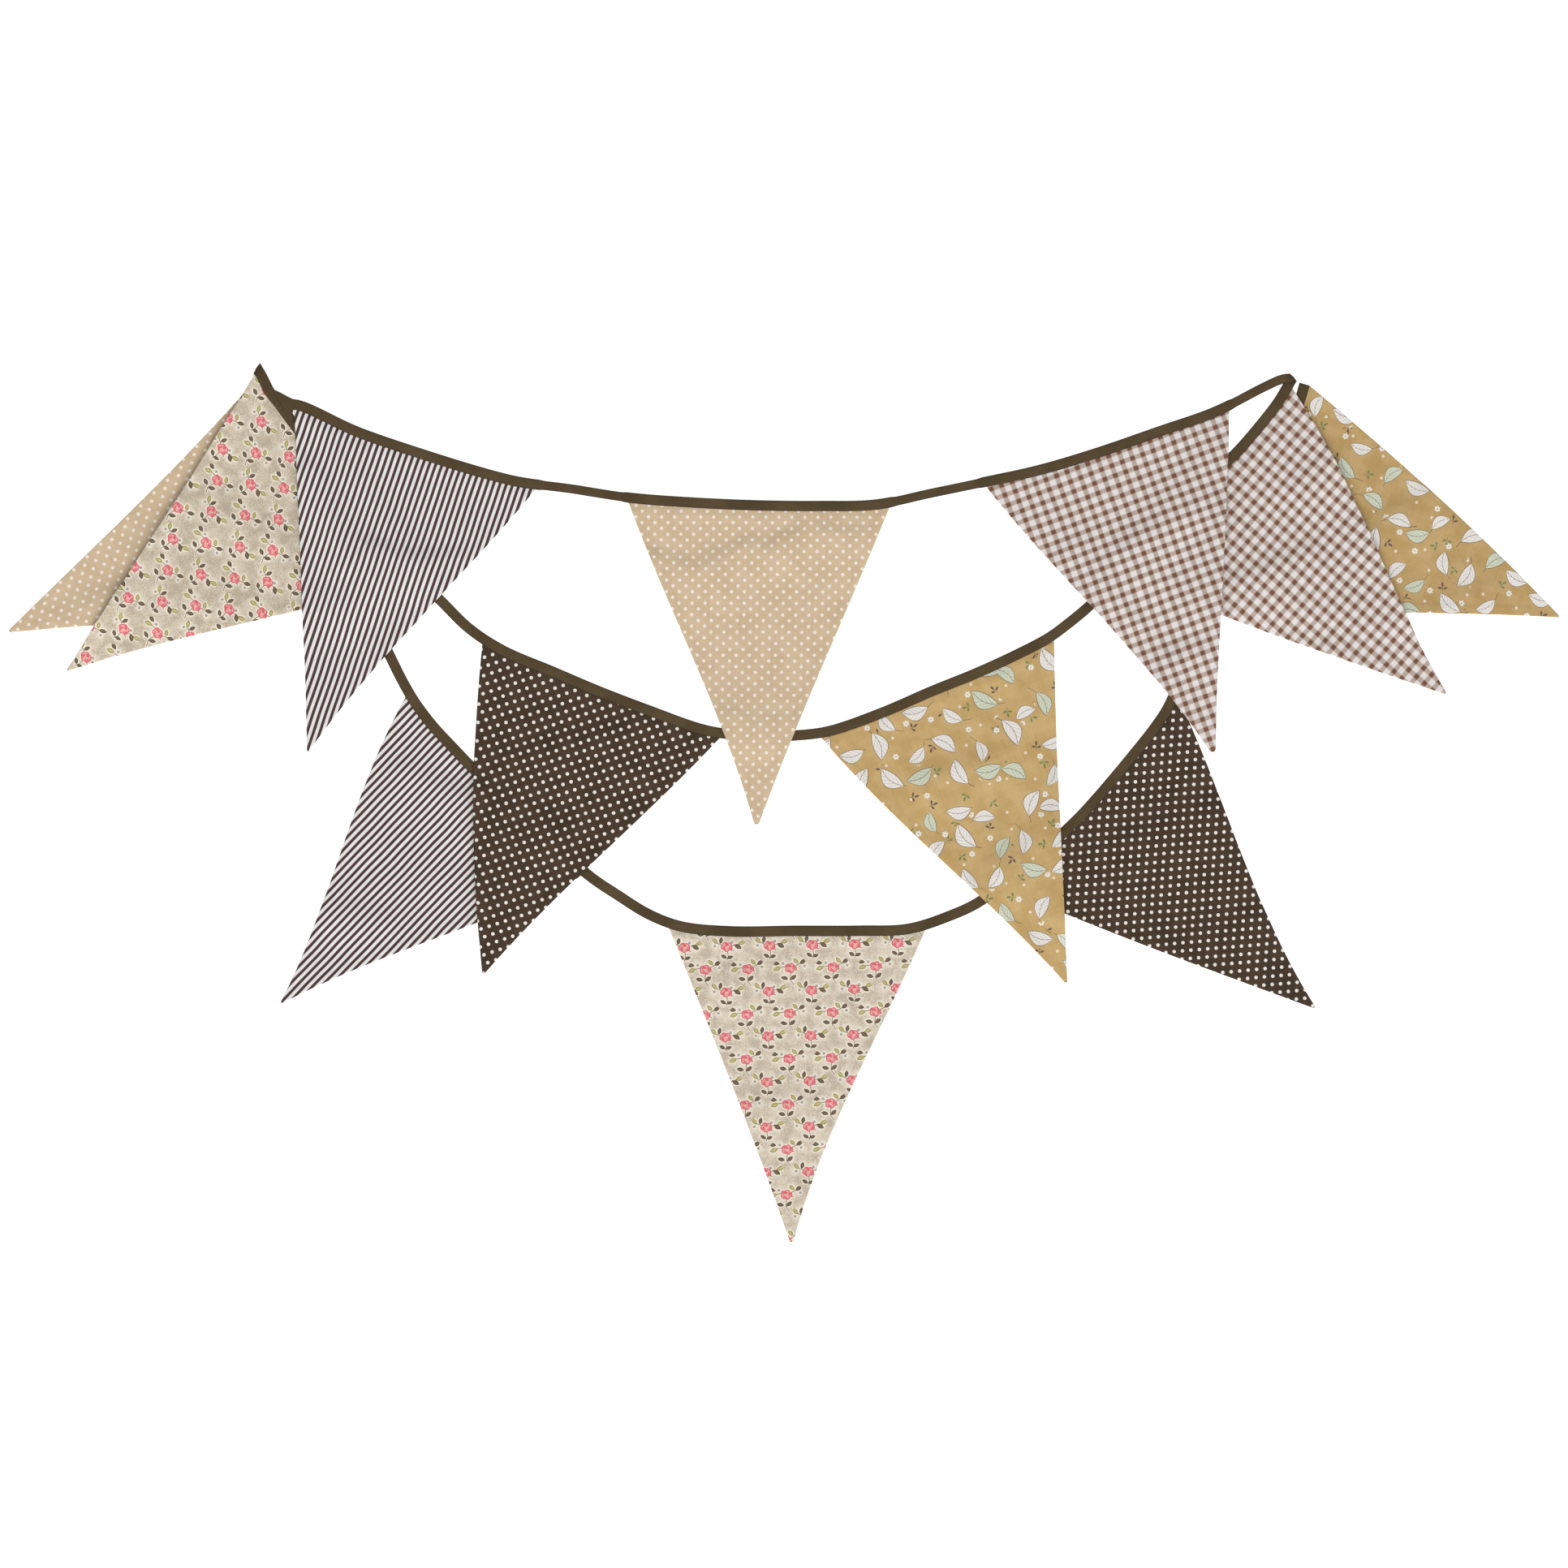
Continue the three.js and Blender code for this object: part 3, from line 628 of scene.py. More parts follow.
# A repeat of a print or stripe: its length in millimetres, its direction from the tape's run and
# its phase at the middle of the flag's upper edge, both in degrees.
STRIPE_REPEATS = {"stripe_flag_1": (4.188, -0.39, -164.5), "stripe_flag_2": (4.147, 1.77, 85.1)}
STRIPE_DARK = (78, 57, 56)
STRIPE_LIGHT = (230, 229, 226)


class Value:
    """A number, colour or vector in a finish. Sums on numbers add the Math nodes for them."""

    def __init__(self, socket):
        self.socket = socket

    def node(self, kind, settings=None, inputs=None, output=0):
        """Adds a node: its settings first, then the values or the links of its sockets."""
        tree = self.socket.id_data
        made = tree.nodes.new(kind)
        for name, setting in (settings or {}).items():
            setattr(made, name, setting)
        for name, value in (inputs or {}).items():
            if isinstance(value, Value):
                tree.links.new(value.socket, made.inputs[name])
            else:
                made.inputs[name].default_value = value
        return Value(made.outputs[output])

    def output(self, name):
        """Another output of the node that this value comes from."""
        return Value(self.socket.node.outputs[name])

    def maths(self, operation, *others):
        return self.node("ShaderNodeMath", {"operation": operation}, dict(enumerate((self, *others))))

    def __add__(self, other):
        return self.maths("ADD", other)

    __radd__ = __add__

    def __mul__(self, other):
        return self.maths("MULTIPLY", other)

    __rmul__ = __mul__

    def __sub__(self, other):
        return self.maths("SUBTRACT", other)

    def __rsub__(self, other):
        return self.node("ShaderNodeMath", {"operation": "SUBTRACT"}, {0: other, 1: self})

    def __truediv__(self, other):
        return self.maths("DIVIDE", other)

    def __abs__(self):
        return self.maths("ABSOLUTE")

    def rise(self, low, high):
        """Goes smoothly from 0 to 1 as the value goes from low to high."""
        return self.node("ShaderNodeMapRange", {"interpolation_type": "SMOOTHSTEP"},
                         {"Value": self, "From Min": low, "From Max": high})

    def colour(self, under, over):
        """Mixes two colours, with this value as the share of the second."""
        return self.node("ShaderNodeMix", {"data_type": "RGBA"}, {0: self, 6: under, 7: over}, output=2)

    def scaled(self, *factors):
        """A vector stretched along its axes."""
        return self.node("ShaderNodeVectorMath", {"operation": "MULTIPLY"}, {0: self, 1: factors})

    def noise(self, scale, detail=2.0, roughness=0.5, kind="2D"):
        return self.node("ShaderNodeTexNoise", {"noise_dimensions": kind},
                         {"Vector": self, "Scale": scale, "Detail": detail, "Roughness": roughness})


def dyed(shown):
    """The colour of a cloth that looks as given, in steps of 255, under the studio light."""
    linear = [((step / 255 + 0.055) / 1.055) ** 2.4 for step in shown]
    return (*(step / CLOTH_BRIGHTNESS for step in linear), 1)


class Cotton:
    """A plain-woven cotton finish: where each point is on the cloth, and the weave's relief."""

    def __init__(self, name, wander=0.25 * MM):
        self.material = bpy.data.materials.new(name)
        self.material.use_nodes = True
        tree = self.material.node_tree
        self.shader = tree.nodes["Principled BSDF"]
        self.shader.inputs["Roughness"].default_value = COTTON_ROUGHNESS
        self.shader.inputs["Specular IOR Level"].default_value = COTTON_GLOSS
        self.shader.inputs["Sheen Weight"].default_value = COTTON_SHEEN
        self.shader.inputs["Sheen Roughness"].default_value = SHEEN_ROUGHNESS
        placed = tree.nodes.new("ShaderNodeUVMap")
        placed.uv_map = "cloth"
        self.place = Value(placed.outputs[0])
        drift = self.place.noise(DRIFT_FINENESS, detail=1.0).output(1)
        centred = drift.node("ShaderNodeVectorMath", {"operation": "SUBTRACT"},
                             {0: drift, 1: (0.5, 0.5, 0.5)}).scaled(wander * 2, wander * 2, 0)
        self.drifted = centred.node("ShaderNodeVectorMath", {"operation": "ADD"},
                                    {0: centred, 1: self.place})
        split = self.drifted.node("ShaderNodeSeparateXYZ", inputs={0: self.drifted})
        self.u, self.v = split, split.output(1)
        self.slub = (self.place.scaled(SLUB_FINENESS, SLUB_LENGTH, 1).noise(1, detail=1.0)
                     + self.place.scaled(SLUB_LENGTH, SLUB_FINENESS, 1).noise(1, detail=1.0)) * 0.5

    def weave(self):
        """The height of the yarns, which pass over and under each other by turns."""
        split = self.place.node("ShaderNodeSeparateXYZ", inputs={0: self.place})
        warp = (split * (math.pi / YARN)).maths("SINE")
        weft = (split.output(1) * (math.pi / YARN)).maths("SINE")
        over = warp * weft * 0.5
        return (abs(warp) * 0.5 + over).maths("MAXIMUM", abs(weft) * 0.5 - over)

    def repeats(self, repeat):
        """Counts the repeats of a print up to each point of the cloth."""
        period, direction, phase = repeat
        turn = math.radians(direction)
        return (self.u * (math.cos(turn) / (period * MM)) + self.v * (math.sin(turn) / (period * MM))
                + phase / 360)

    def mottled(self, dark, light, fineness):
        """A ground that wanders softly between two dyed tones."""
        wander = self.place.noise(fineness, detail=3.0)
        return wander.rise(*MOTTLING).colour(dyed(dark), dyed(light))

    def finish(self, colour):
        """Joins a colour and the weave to the shader."""
        yarns = self.weave()
        # The slubs vary the yarns' tone at random, and the yarns add painted shade: lighter where they
        # stand high, darker between them.
        shade = (self.slub - 0.5) * (2 * SLUB_STRENGTH) + yarns * YARN_SHADE + WEAVE_BRIGHTNESS
        toned = shade.node("ShaderNodeMix", {"data_type": "RGBA", "blend_type": "MULTIPLY"},
                           {0: 1.0, 6: colour, 7: shade}, output=2)
        relief = shade.node("ShaderNodeBump", inputs={
            "Strength": 1.0, "Distance": YARN_RELIEF, "Height": yarns + self.slub})
        tree = self.material.node_tree
        tree.links.new(toned.socket, self.shader.inputs["Base Color"])
        tree.links.new(relief.socket, self.shader.inputs["Normal"])
        return self.material


def bands(count, share, softness):
    """1 in the light bands of a count of repeats and 0 in the dark ones, which take the rest."""
    wave = (count * (2 * math.pi)).maths("COSINE")
    edge = math.cos(math.pi * share)
    return wave.rise(edge - softness, edge + softness)


def sew_flag(name, finish):
    """Makes a flag's mesh: face and back cloth, joined down both sides and at the upper edge."""
    flag = flags[name]
    starts = np.concatenate([[0], np.cumsum(flag.counts)])
    total = starts[-1]
    triangles = []
    for row, count in enumerate(flag.counts[:-1]):
        near = np.arange(count - 1) + starts[row]
        far = near + count
        shorter = flag.counts[row + 1] < count
        triangles.append(np.stack([near, far, near + 1], -1))
        if shorter:
            near, far = near[:-1], far[:-1]
        triangles.append(np.stack([near + 1, far, far + 1], -1))
    face = np.vstack(triangles)
    if flag.strand.side < 0:
        face = face[:, ::-1]
    rim = np.zeros(total, bool)
    rim[:flag.counts[0]] = True
    rim[starts[:-1]] = True
    rim[starts[1:] - 1] = True
    below = np.arange(total)
    below[~rim] = total + np.arange(np.count_nonzero(~rim))
    back = below[face[:, ::-1]]
    upper = np.column_stack([flag.places, flag.high])
    under = np.column_stack([flag.places, flag.low])[~rim]
    mesh = bpy.data.meshes.new(name + "_cloth")
    mesh.from_pydata(np.vstack([upper, under]).tolist(), [], np.vstack([face, back]).tolist())
    on_face = flag.print_places[face.ravel()]
    on_back = flag.print_places[face[:, ::-1].ravel()] * (-1, 1) + BACK_SHIFT
    layer = mesh.uv_layers.new(name="cloth")
    layer.data.foreach_set("uv", np.vstack([on_face, on_back]).ravel())
    mesh.shade_smooth()
    mesh.materials.append(finish)
    piece = bpy.data.objects.new(name + "_cloth", mesh)
    bpy.context.collection.objects.link(piece)
    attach(piece, "root")
    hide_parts(name)


def striped_cotton(name):
    cotton = Cotton(name + "_stripe", wander=0.5 * MM)
    light = bands(cotton.repeats(STRIPE_REPEATS[name]), share=0.5, softness=0.35)
    return cotton.finish(light.colour(dyed(STRIPE_DARK), dyed(STRIPE_LIGHT)))


sew_flag("stripe_flag_1", striped_cotton("stripe_flag_1"))
sew_flag("stripe_flag_2", striped_cotton("stripe_flag_2"))

# Tan dotted flags
# Two flags of a tan cotton printed with small off-white dots, in rows that lie along the tape and
# are staggered by half a step.
TAN_REPEATS = {
    "tan_dot_flag_1": ((5.980, 48.91, 174.2), (5.842, 131.87, -152.8)),
    "tan_dot_flag_2": ((6.247, 47.14, 3.6), (5.835, 130.71, 22.2)),
}
TAN_DARK = (203, 180, 148)
TAN_LIGHT = (209, 187, 156)
TAN_MOTTLING = 60
TAN_DOT = (238, 227, 214)
TAN_DOT_RADIUS = 1.15 * MM
DOT_EDGE = 0.12 * MM


def lattice(cotton, repeats):
    """Where a point is from the nearest crossing of a print's two repeats, and which crossing."""
    counts = [cotton.repeats(repeat) for repeat in repeats]
    whole = [count.maths("ROUND") for count in counts]
    parts = [count - near for count, near in zip(counts, whole)]
    turns = np.radians([direction for _, direction, _ in repeats])
    periods = np.array([period for period, _, _ in repeats]) * MM
    rows = np.column_stack([np.cos(turns), np.sin(turns)]) / periods[:, None]
    (a, b), (c, d) = np.linalg.inv(rows).tolist()
    return parts[0] * a + parts[1] * b, parts[0] * c + parts[1] * d, whole


def distance(x, y, middle=(0, 0), oval=(1, 1)):
    """How far a point is from a middle, where `oval` squeezes the circles round it into ovals."""
    dx, dy = x - middle[0], y - middle[1]
    return (dx * dx * oval[0] + dy * dy * oval[1]).maths("SQRT")


def dotted(cotton, repeats, radius):
    """1 on the dots of a staggered print and 0 between them."""
    x, y, _ = lattice(cotton, repeats)
    return 1 - distance(x, y).rise(radius - DOT_EDGE, radius + DOT_EDGE)


def tan_cotton(name):
    cotton = Cotton(name + "_tan_dots")
    ground = cotton.mottled(TAN_DARK, TAN_LIGHT, TAN_MOTTLING)
    dots = dotted(cotton, TAN_REPEATS[name], TAN_DOT_RADIUS)
    return cotton.finish(dots.colour(ground, dyed(TAN_DOT)))


sew_flag("tan_dot_flag_1", tan_cotton("tan_dot_flag_1"))
sew_flag("tan_dot_flag_2", tan_cotton("tan_dot_flag_2"))

# Gingham flags
# Two flags of a woven check: brown and white yarns in equal bands both ways, so that a square is
# white, brown, or half of each, where yarns of the two colours cross.
GINGHAM_REPEATS = {
    "gingham_flag_1": ((7.575, 2.26, -118.9), (7.101, 93.24, 62.7)),
    "gingham_flag_2": ((7.693, 0.07, 41.9), (7.066, 91.46, 15.4)),
}
GINGHAM_WHITE = (226, 221, 219)
GINGHAM_HALF = (182, 165, 154)
GINGHAM_BROWN = (120, 82, 64)


def gingham(name):
    cotton = Cotton(name + "_check", wander=0.5 * MM)
    warp, weft = (bands(cotton.repeats(repeat), share=0.55, softness=0.42)
                  for repeat in GINGHAM_REPEATS[name])
    both = warp * weft
    either = warp + weft - both
    darker = either.colour(dyed(GINGHAM_BROWN), dyed(GINGHAM_HALF))
    return cotton.finish(both.colour(darker, dyed(GINGHAM_WHITE)))


sew_flag("gingham_flag_1", gingham("gingham_flag_1"))
sew_flag("gingham_flag_2", gingham("gingham_flag_2"))

# Brown dotted flags
# Two flags of a dark brown cotton printed with off-white dots, staggered like the tan ones.
BROWN_REPEATS = {
    "brown_dot_flag_1": ((5.801, 46.71, -94.7), (5.867, 129.84, -14.1)),
    "brown_dot_flag_2": ((5.652, 47.11, 15.7), (5.718, 128.21, 17.3)),
}
BROWN_DARK = (66, 52, 40)
BROWN_LIGHT = (76, 60, 47)
BROWN_MOTTLING = 70
BROWN_DOT = (234, 230, 222)
BROWN_DOT_RADIUS = 1.18 * MM


def brown_cotton(name):
    cotton = Cotton(name + "_brown_dots", wander=0.4 * MM)
    ground = cotton.mottled(BROWN_DARK, BROWN_LIGHT, BROWN_MOTTLING)
    dots = dotted(cotton, BROWN_REPEATS[name], BROWN_DOT_RADIUS)
    return cotton.finish(dots.colour(ground, dyed(BROWN_DOT)))


sew_flag("brown_dot_flag_1", brown_cotton("brown_dot_flag_1"))
sew_flag("brown_dot_flag_2", brown_cotton("brown_dot_flag_2"))

# Rose flags
# Two flags of a taupe cotton, mottled and finely speckled, printed with small pink roses that each
# have a stem and two side sprigs. Two drawings of the rose alternate from row to row, and every
# part of them has a soft cream edge.
ROSE_REPEATS = {
    "rose_flag_1": ((22.877, 43.13, 138.3), (21.705, 136.40, -177.9)),
    "rose_flag_2": ((21.733, 43.61, -3.2), (20.874, 137.17, -103.4)),
}
ROSE_PINK = (224, 116, 126)
ROSE_PALE = (244, 196, 184)
ROSE_DEEP = (192, 78, 94)
LEAF_BROWN = (96, 80, 64)
LEAF_BROWN_HEART = (118, 100, 82)
LEAF_OLIVE = (150, 138, 80)
LEAF_OLIVE_HEART = (192, 184, 128)
BERRY_GREY = (170, 163, 158)
STEM_BROWN = (106, 90, 70)
PRINT_CREAM = (240, 231, 213)
TAUPES = {
    "rose_flag_1": ((186, 172, 152), (212, 199, 179), (223, 213, 194)),
    "rose_flag_2": ((192, 179, 160), (220, 207, 188), (230, 220, 203)),
}
TAUPE_MOTTLING = 95
SPECKLES = 850
CREAM_CLOUD = (-4.0, -0.8)
CLOUD_STRENGTH = 0.75
EDGE_GLOW = (-1.05, -0.5)
GLOW_STRENGTH = 0.9
PRINT_SOFTNESS = 0.2

# The print's parts are in millimetres. A rose is an oval ring of petals round a smaller ring, with
# a pale heart and a deep bud, whose middles are given from the rose's middle. In the second
# drawing the petals are turned.
ROSE_RADIUS = 3.35
ROSE_OVAL = (0.9, 1.3)
OUTER_PETALS = 5
OUTER_DEPTH = 0.7
OUTER_TURN = 1.1
INNER_RADIUS = 1.65
INNER_PETALS = 3
INNER_DEPTH = 0.5
INNER_TURN = 0.7
HEART = (0.35, -0.55)
HEART_OVAL = (0.7, 1)
BUD = (-0.1, 0.95)
BUD_OVAL = (1, 1.6)
LEAF_RATIO = 0.52
BERRY_RADIUS = 1.0
STEM_HALF_WIDTH = 0.24

# For each part, its place in the first and in the second drawing, to the right and up from the
# rose's middle. A leaf also has the way it points, in degrees, and half its length, and a stem
# has two ends.
BROWN_LEAVES = [
    ((-4.0, -6.8, 168, 2.6), (-2.0, -6.8, 150, 2.4)),
    ((2.0, -6.3, 40, 2.6), (2.3, -7.2, 20, 2.3)),
    ((8.4, 4.5, 35, 2.7), (7.6, 0.3, -30, 2.9)),
    ((-10.1, 3.1, 172, 2.7), (-4.0, 4.3, 78, 2.5)),
]
OLIVE_LEAVES = [
    ((3.6, 4.9, 135, 2.5), (10.2, 3.0, 18, 2.8)),
    ((-9.1, -0.6, 22, 2.9), (-8.2, 3.9, 130, 2.7)),
]
BERRIES = [((9.6, 1.5), (3.5, 3.2)), ((-5.2, 3.1), (-8.3, 0.3))]
STEMS = [
    (((0.1, -3), (-0.2, -8)), ((0.4, -3), (1.0, -6.5))),
    (((-0.2, -8), (2.3, -11.4)), ((1.0, -6.5), (0.2, -9.3))),
    (((2.5, 1), (6.6, 3.2)), ((2.8, 0.6), (8.4, 2.0))),
    (((-2.5, 1), (-6.8, 0.4)), ((-2.5, 0.8), (-6.6, 2.4))),
    (((3.0, -0.9), (4.9, -1.3)), ((2.6, -2.0), (4.8, -2.5))),
]


def pick(second, first_value, second_value):
    """A number of the first drawing or of the second, where `second` is 0 or 1."""
    return second.maths("MULTIPLY_ADD", second_value - first_value, first_value)


def inside_leaf(x, y, second, first, other):
    """How far a point is inside a pointed leaf's edge, below zero outside it."""
    length = pick(second, first[3], other[3])
    turns = [math.radians(leaf[2]) for leaf in (first, other)]
    cosines = [math.cos(turn) for turn in turns]
    sines = [math.sin(turn) for turn in turns]
    forward = [leaf[0] * c + leaf[1] * s for leaf, c, s in zip((first, other), cosines, sines)]
    sideways = [leaf[1] * c - leaf[0] * s for leaf, c, s in zip((first, other), cosines, sines)]
    c, s = pick(second, *cosines), pick(second, *sines)
    along = (x * c + y * s - pick(second, *forward)) / length
    across = y * c - x * s - pick(second, *sideways)
    return (1 - along * along) * (length * LEAF_RATIO) - abs(across)


def inside_berry(x, y, second, first, other):
    middle = pick(second, first[0], other[0]), pick(second, first[1], other[1])
    return BERRY_RADIUS - distance(x, y, middle)


def inside_stem(x, y, second, first, other):
    """How far a point is inside a thin straight stem."""
    runs = [np.subtract(*stem[::-1]) for stem in (first, other)]
    dx = x - pick(second, first[0][0], other[0][0])
    dy = y - pick(second, first[0][1], other[0][1])
    run_x = pick(second, *[float(run[0]) for run in runs])
    run_y = pick(second, *[float(run[1]) for run in runs])
    inverse = pick(second, *[float(1 / (run @ run)) for run in runs])
    share = ((dx * run_x + dy * run_y) * inverse).maths("MINIMUM", 1.0).maths("MAXIMUM", 0.0)
    return STEM_HALF_WIDTH - distance(dx, dy, (share * run_x, share * run_y))


def nearest_of(shapes):
    """The shape that each point is furthest inside, or the least outside."""
    total = shapes[0]
    for shape in shapes[1:]:
        total = total.maths("MAXIMUM", shape)
    return total


def rose_drawing(x, y, second):
    """How far a point is inside a rose's edge, and the rose's colours."""
    away = distance(x, y, oval=ROSE_OVAL)
    angle = y.maths("ARCTAN2", x)
    outer = abs((angle * (OUTER_PETALS / 2) + second * OUTER_TURN).maths("COSINE"))
    inner = abs((angle * (INNER_PETALS / 2) + second * INNER_TURN).maths("COSINE"))
    turned = (angle * 3 - away * 0.9 + second * 2).maths("SINE")
    rose = outer * OUTER_DEPTH + ROSE_RADIUS - away
    ring = away - inner * INNER_DEPTH - INNER_RADIUS
    heart = distance(x, y, HEART, HEART_OVAL)
    bud = distance(x, y, BUD, BUD_OVAL)
    shades = [
        ((1 - rose.rise(0.0, 0.9)) * 0.7, ROSE_DEEP),
        (rose.rise(0.4, 1.1) * turned.rise(-0.6, 0.9) * 0.6, ROSE_PALE),
        ((1 - abs(ring).rise(0.08, 0.36)) * 0.6, ROSE_DEEP),
        ((1 - heart.rise(0.4, 1.7)) * 0.6, ROSE_PALE),
        ((1 - bud.rise(0.2, 0.95)) * 0.85, ROSE_DEEP),
    ]
    pink = dyed(ROSE_PINK)
    for share, tone in shades:
        pink = share.colour(pink, dyed(tone))
    return rose, pink


def rose_cotton(name):
    cotton = Cotton(name + "_roses")
    x, y, whole = lattice(cotton, ROSE_REPEATS[name])
    x, y = x * (1 / MM), y * (1 / MM)
    second = (whole[0] + whole[1]).maths("PINGPONG", 1.0)
    brown = nearest_of([inside_leaf(x, y, second, *pair) for pair in BROWN_LEAVES])
    olive = nearest_of([inside_leaf(x, y, second, *pair) for pair in OLIVE_LEAVES])
    berry = nearest_of([inside_berry(x, y, second, *pair) for pair in BERRIES])
    stem = nearest_of([inside_stem(x, y, second, *pair) for pair in STEMS])
    rose, pink = rose_drawing(x, y, second)

    speckle = cotton.place.noise(SPECKLES, detail=2.0, roughness=0.7)
    mottle = cotton.place.noise(TAUPE_MOTTLING, detail=4.0, roughness=0.6)
    dark, light, cream = (dyed(shown) for shown in TAUPES[name])
    colour = (mottle * 0.5 + speckle * 0.5).rise(0.41, 0.59).colour(dark, light)
    every = nearest_of([brown, olive, berry, rose])
    cloud = every.rise(*CREAM_CLOUD) * mottle.rise(0.2, 0.6)
    colour = (cloud * CLOUD_STRENGTH).colour(colour, cream)
    glow = nearest_of([every, stem - 0.2]).rise(*EDGE_GLOW)
    colour = (glow * GLOW_STRENGTH).colour(colour, dyed(PRINT_CREAM))
    olive_ink = olive.rise(0.25, 0.95).colour(dyed(LEAF_OLIVE), dyed(LEAF_OLIVE_HEART))
    brown_ink = brown.rise(0.3, 1.0).colour(dyed(LEAF_BROWN), dyed(LEAF_BROWN_HEART))
    for shape, ink in ((stem, dyed(STEM_BROWN)), (berry, dyed(BERRY_GREY)), (olive, olive_ink),
                       (brown, brown_ink), (rose, pink)):
        colour = shape.rise(-PRINT_SOFTNESS, PRINT_SOFTNESS).colour(colour, ink)
    return cotton.finish(colour)


sew_flag("rose_flag_1", rose_cotton("rose_flag_1"))
sew_flag("rose_flag_2", rose_cotton("rose_flag_2"))

# Mustard flags
# Two flags of a mustard cotton with a tossed print: large off-white leaves with a drawn outline
# and veins, small green and brown sprigs, daisies and dots, all pointing every way.
MUSTARD_GROUNDS = {
    "mustard_flag_1": ((190, 158, 103), (201, 171, 119)),
    "mustard_flag_2": ((182, 151, 98), (194, 164, 114)),
}
MUSTARD_MOTTLING = 70
MUSTARD_TURN = {"mustard_flag_1": 0.3, "mustard_flag_2": 1.9}
OFF_WHITE = (230, 226, 219)
LEAF_TINT = (204, 210, 188)
DOT_CREAM = (232, 214, 196)
INK_BROWN = (108, 88, 80)
INK_GREEN = (120, 134, 84)

# The motifs are in millimetres: half the length and half the width of the big leaf, how much it
# bends, its stalk, its vein, its ribs and its outline, and then the radii of a daisy, its eye and a
# dot. The print leaves some ground clear round the big leaf.
BIG_LEAF = (9.0, 4.9)
LEAF_BEND = 0.035
STALK = 3.4
STALK_HALF_WIDTH = 0.22
VEIN_HALF_WIDTH = 0.16
RIB_SPACING = 2.3
LEAF_OUTLINE = 0.38
LEAF_CLEARANCE = (-2.2, -1.6)
INK_SOFTNESS = 0.12
DAISY_RADIUS = 1.9
PETAL_DEPTH = 0.35
DAISY_PETALS = 6
EYE_RADIUS = 0.5
DOT_RADIUS = 1.0
SPRIG_LEAVES = [((2.1, 0.1), 5, 1.9, 0.75), ((-0.2, 1.8), 75, 1.7, 0.7), ((-0.5, -1.8), -70, 1.7, 0.7)]

# How each motif is scattered: its spacing, how far it strays from even places, and its turn.
SCATTER = {
    "leaf": (23.0, 0.55, 0.0),
    "sprig": (21.0, 0.8, 2.1),
    "daisy": (23.0, 0.85, 0.9),
    "dot": (20.0, 0.9, 1.4),
}


def tossed(cotton, motif, turn):
    """Scatters a motif: where a point is from the motif's middle, turned its way, and two
    chance numbers that are the same all over one motif."""
    spacing, randomness, own_turn = SCATTER[motif]
    turned = cotton.drifted.node("ShaderNodeVectorRotate", {"rotation_type": "Z_AXIS"},
                                 {"Vector": cotton.drifted, "Angle": turn + own_turn})
    cells = turned.node("ShaderNodeTexVoronoi", {"voronoi_dimensions": "2D"},
                        {"Vector": turned, "Scale": 1 / (spacing * MM), "Randomness": randomness})
    local = turned.node("ShaderNodeVectorMath", {"operation": "SUBTRACT"},
                        {0: turned, 1: cells.output("Position")})
    chance = local.node("ShaderNodeSeparateColor", inputs={0: cells.output("Color")})
    angle = chance * (2 * math.pi)
    faced = local.node("ShaderNodeVectorRotate", {"rotation_type": "Z_AXIS"},
                       {"Vector": local, "Angle": angle}).scaled(1 / MM, 1 / MM, 0)
    split = faced.node("ShaderNodeSeparateXYZ", inputs={0: faced})
    return split, split.output(1), chance.output(1), chance.output(2)


def leaf_shape(x, y, at, turn, length, width):
    """How far a point is inside a pointed leaf that stands at a place and points one way."""
    c, s = math.cos(math.radians(turn)), math.sin(math.radians(turn))
    along = (x * c + y * s - (at[0] * c + at[1] * s)) * (1 / length)
    across = y * c - x * s - (at[1] * c - at[0] * s)
    return (1 - along * along) * width - abs(across)


def big_leaf(x, y):
    """The big leaf: how far a point is inside its blade, its stalk, its vein and its ribs."""
    length, width = BIG_LEAF
    bent = y + x * x * LEAF_BEND - 0.6
    blade = leaf_shape(x, bent, (0, 0), 0, length, width)
    stalk = (STALK_HALF_WIDTH - abs(bent)).maths("MINIMUM", STALK - abs(x + length + 1.6))
    vein = (VEIN_HALF_WIDTH - abs(bent)).maths("MINIMUM", length - 1.2 - abs(x))
    ribs = ((x * 0.75 - abs(bent)) * (2 * math.pi / RIB_SPACING)).maths("COSINE")
    return blade, stalk, vein, (ribs - 0.93) * 2.0


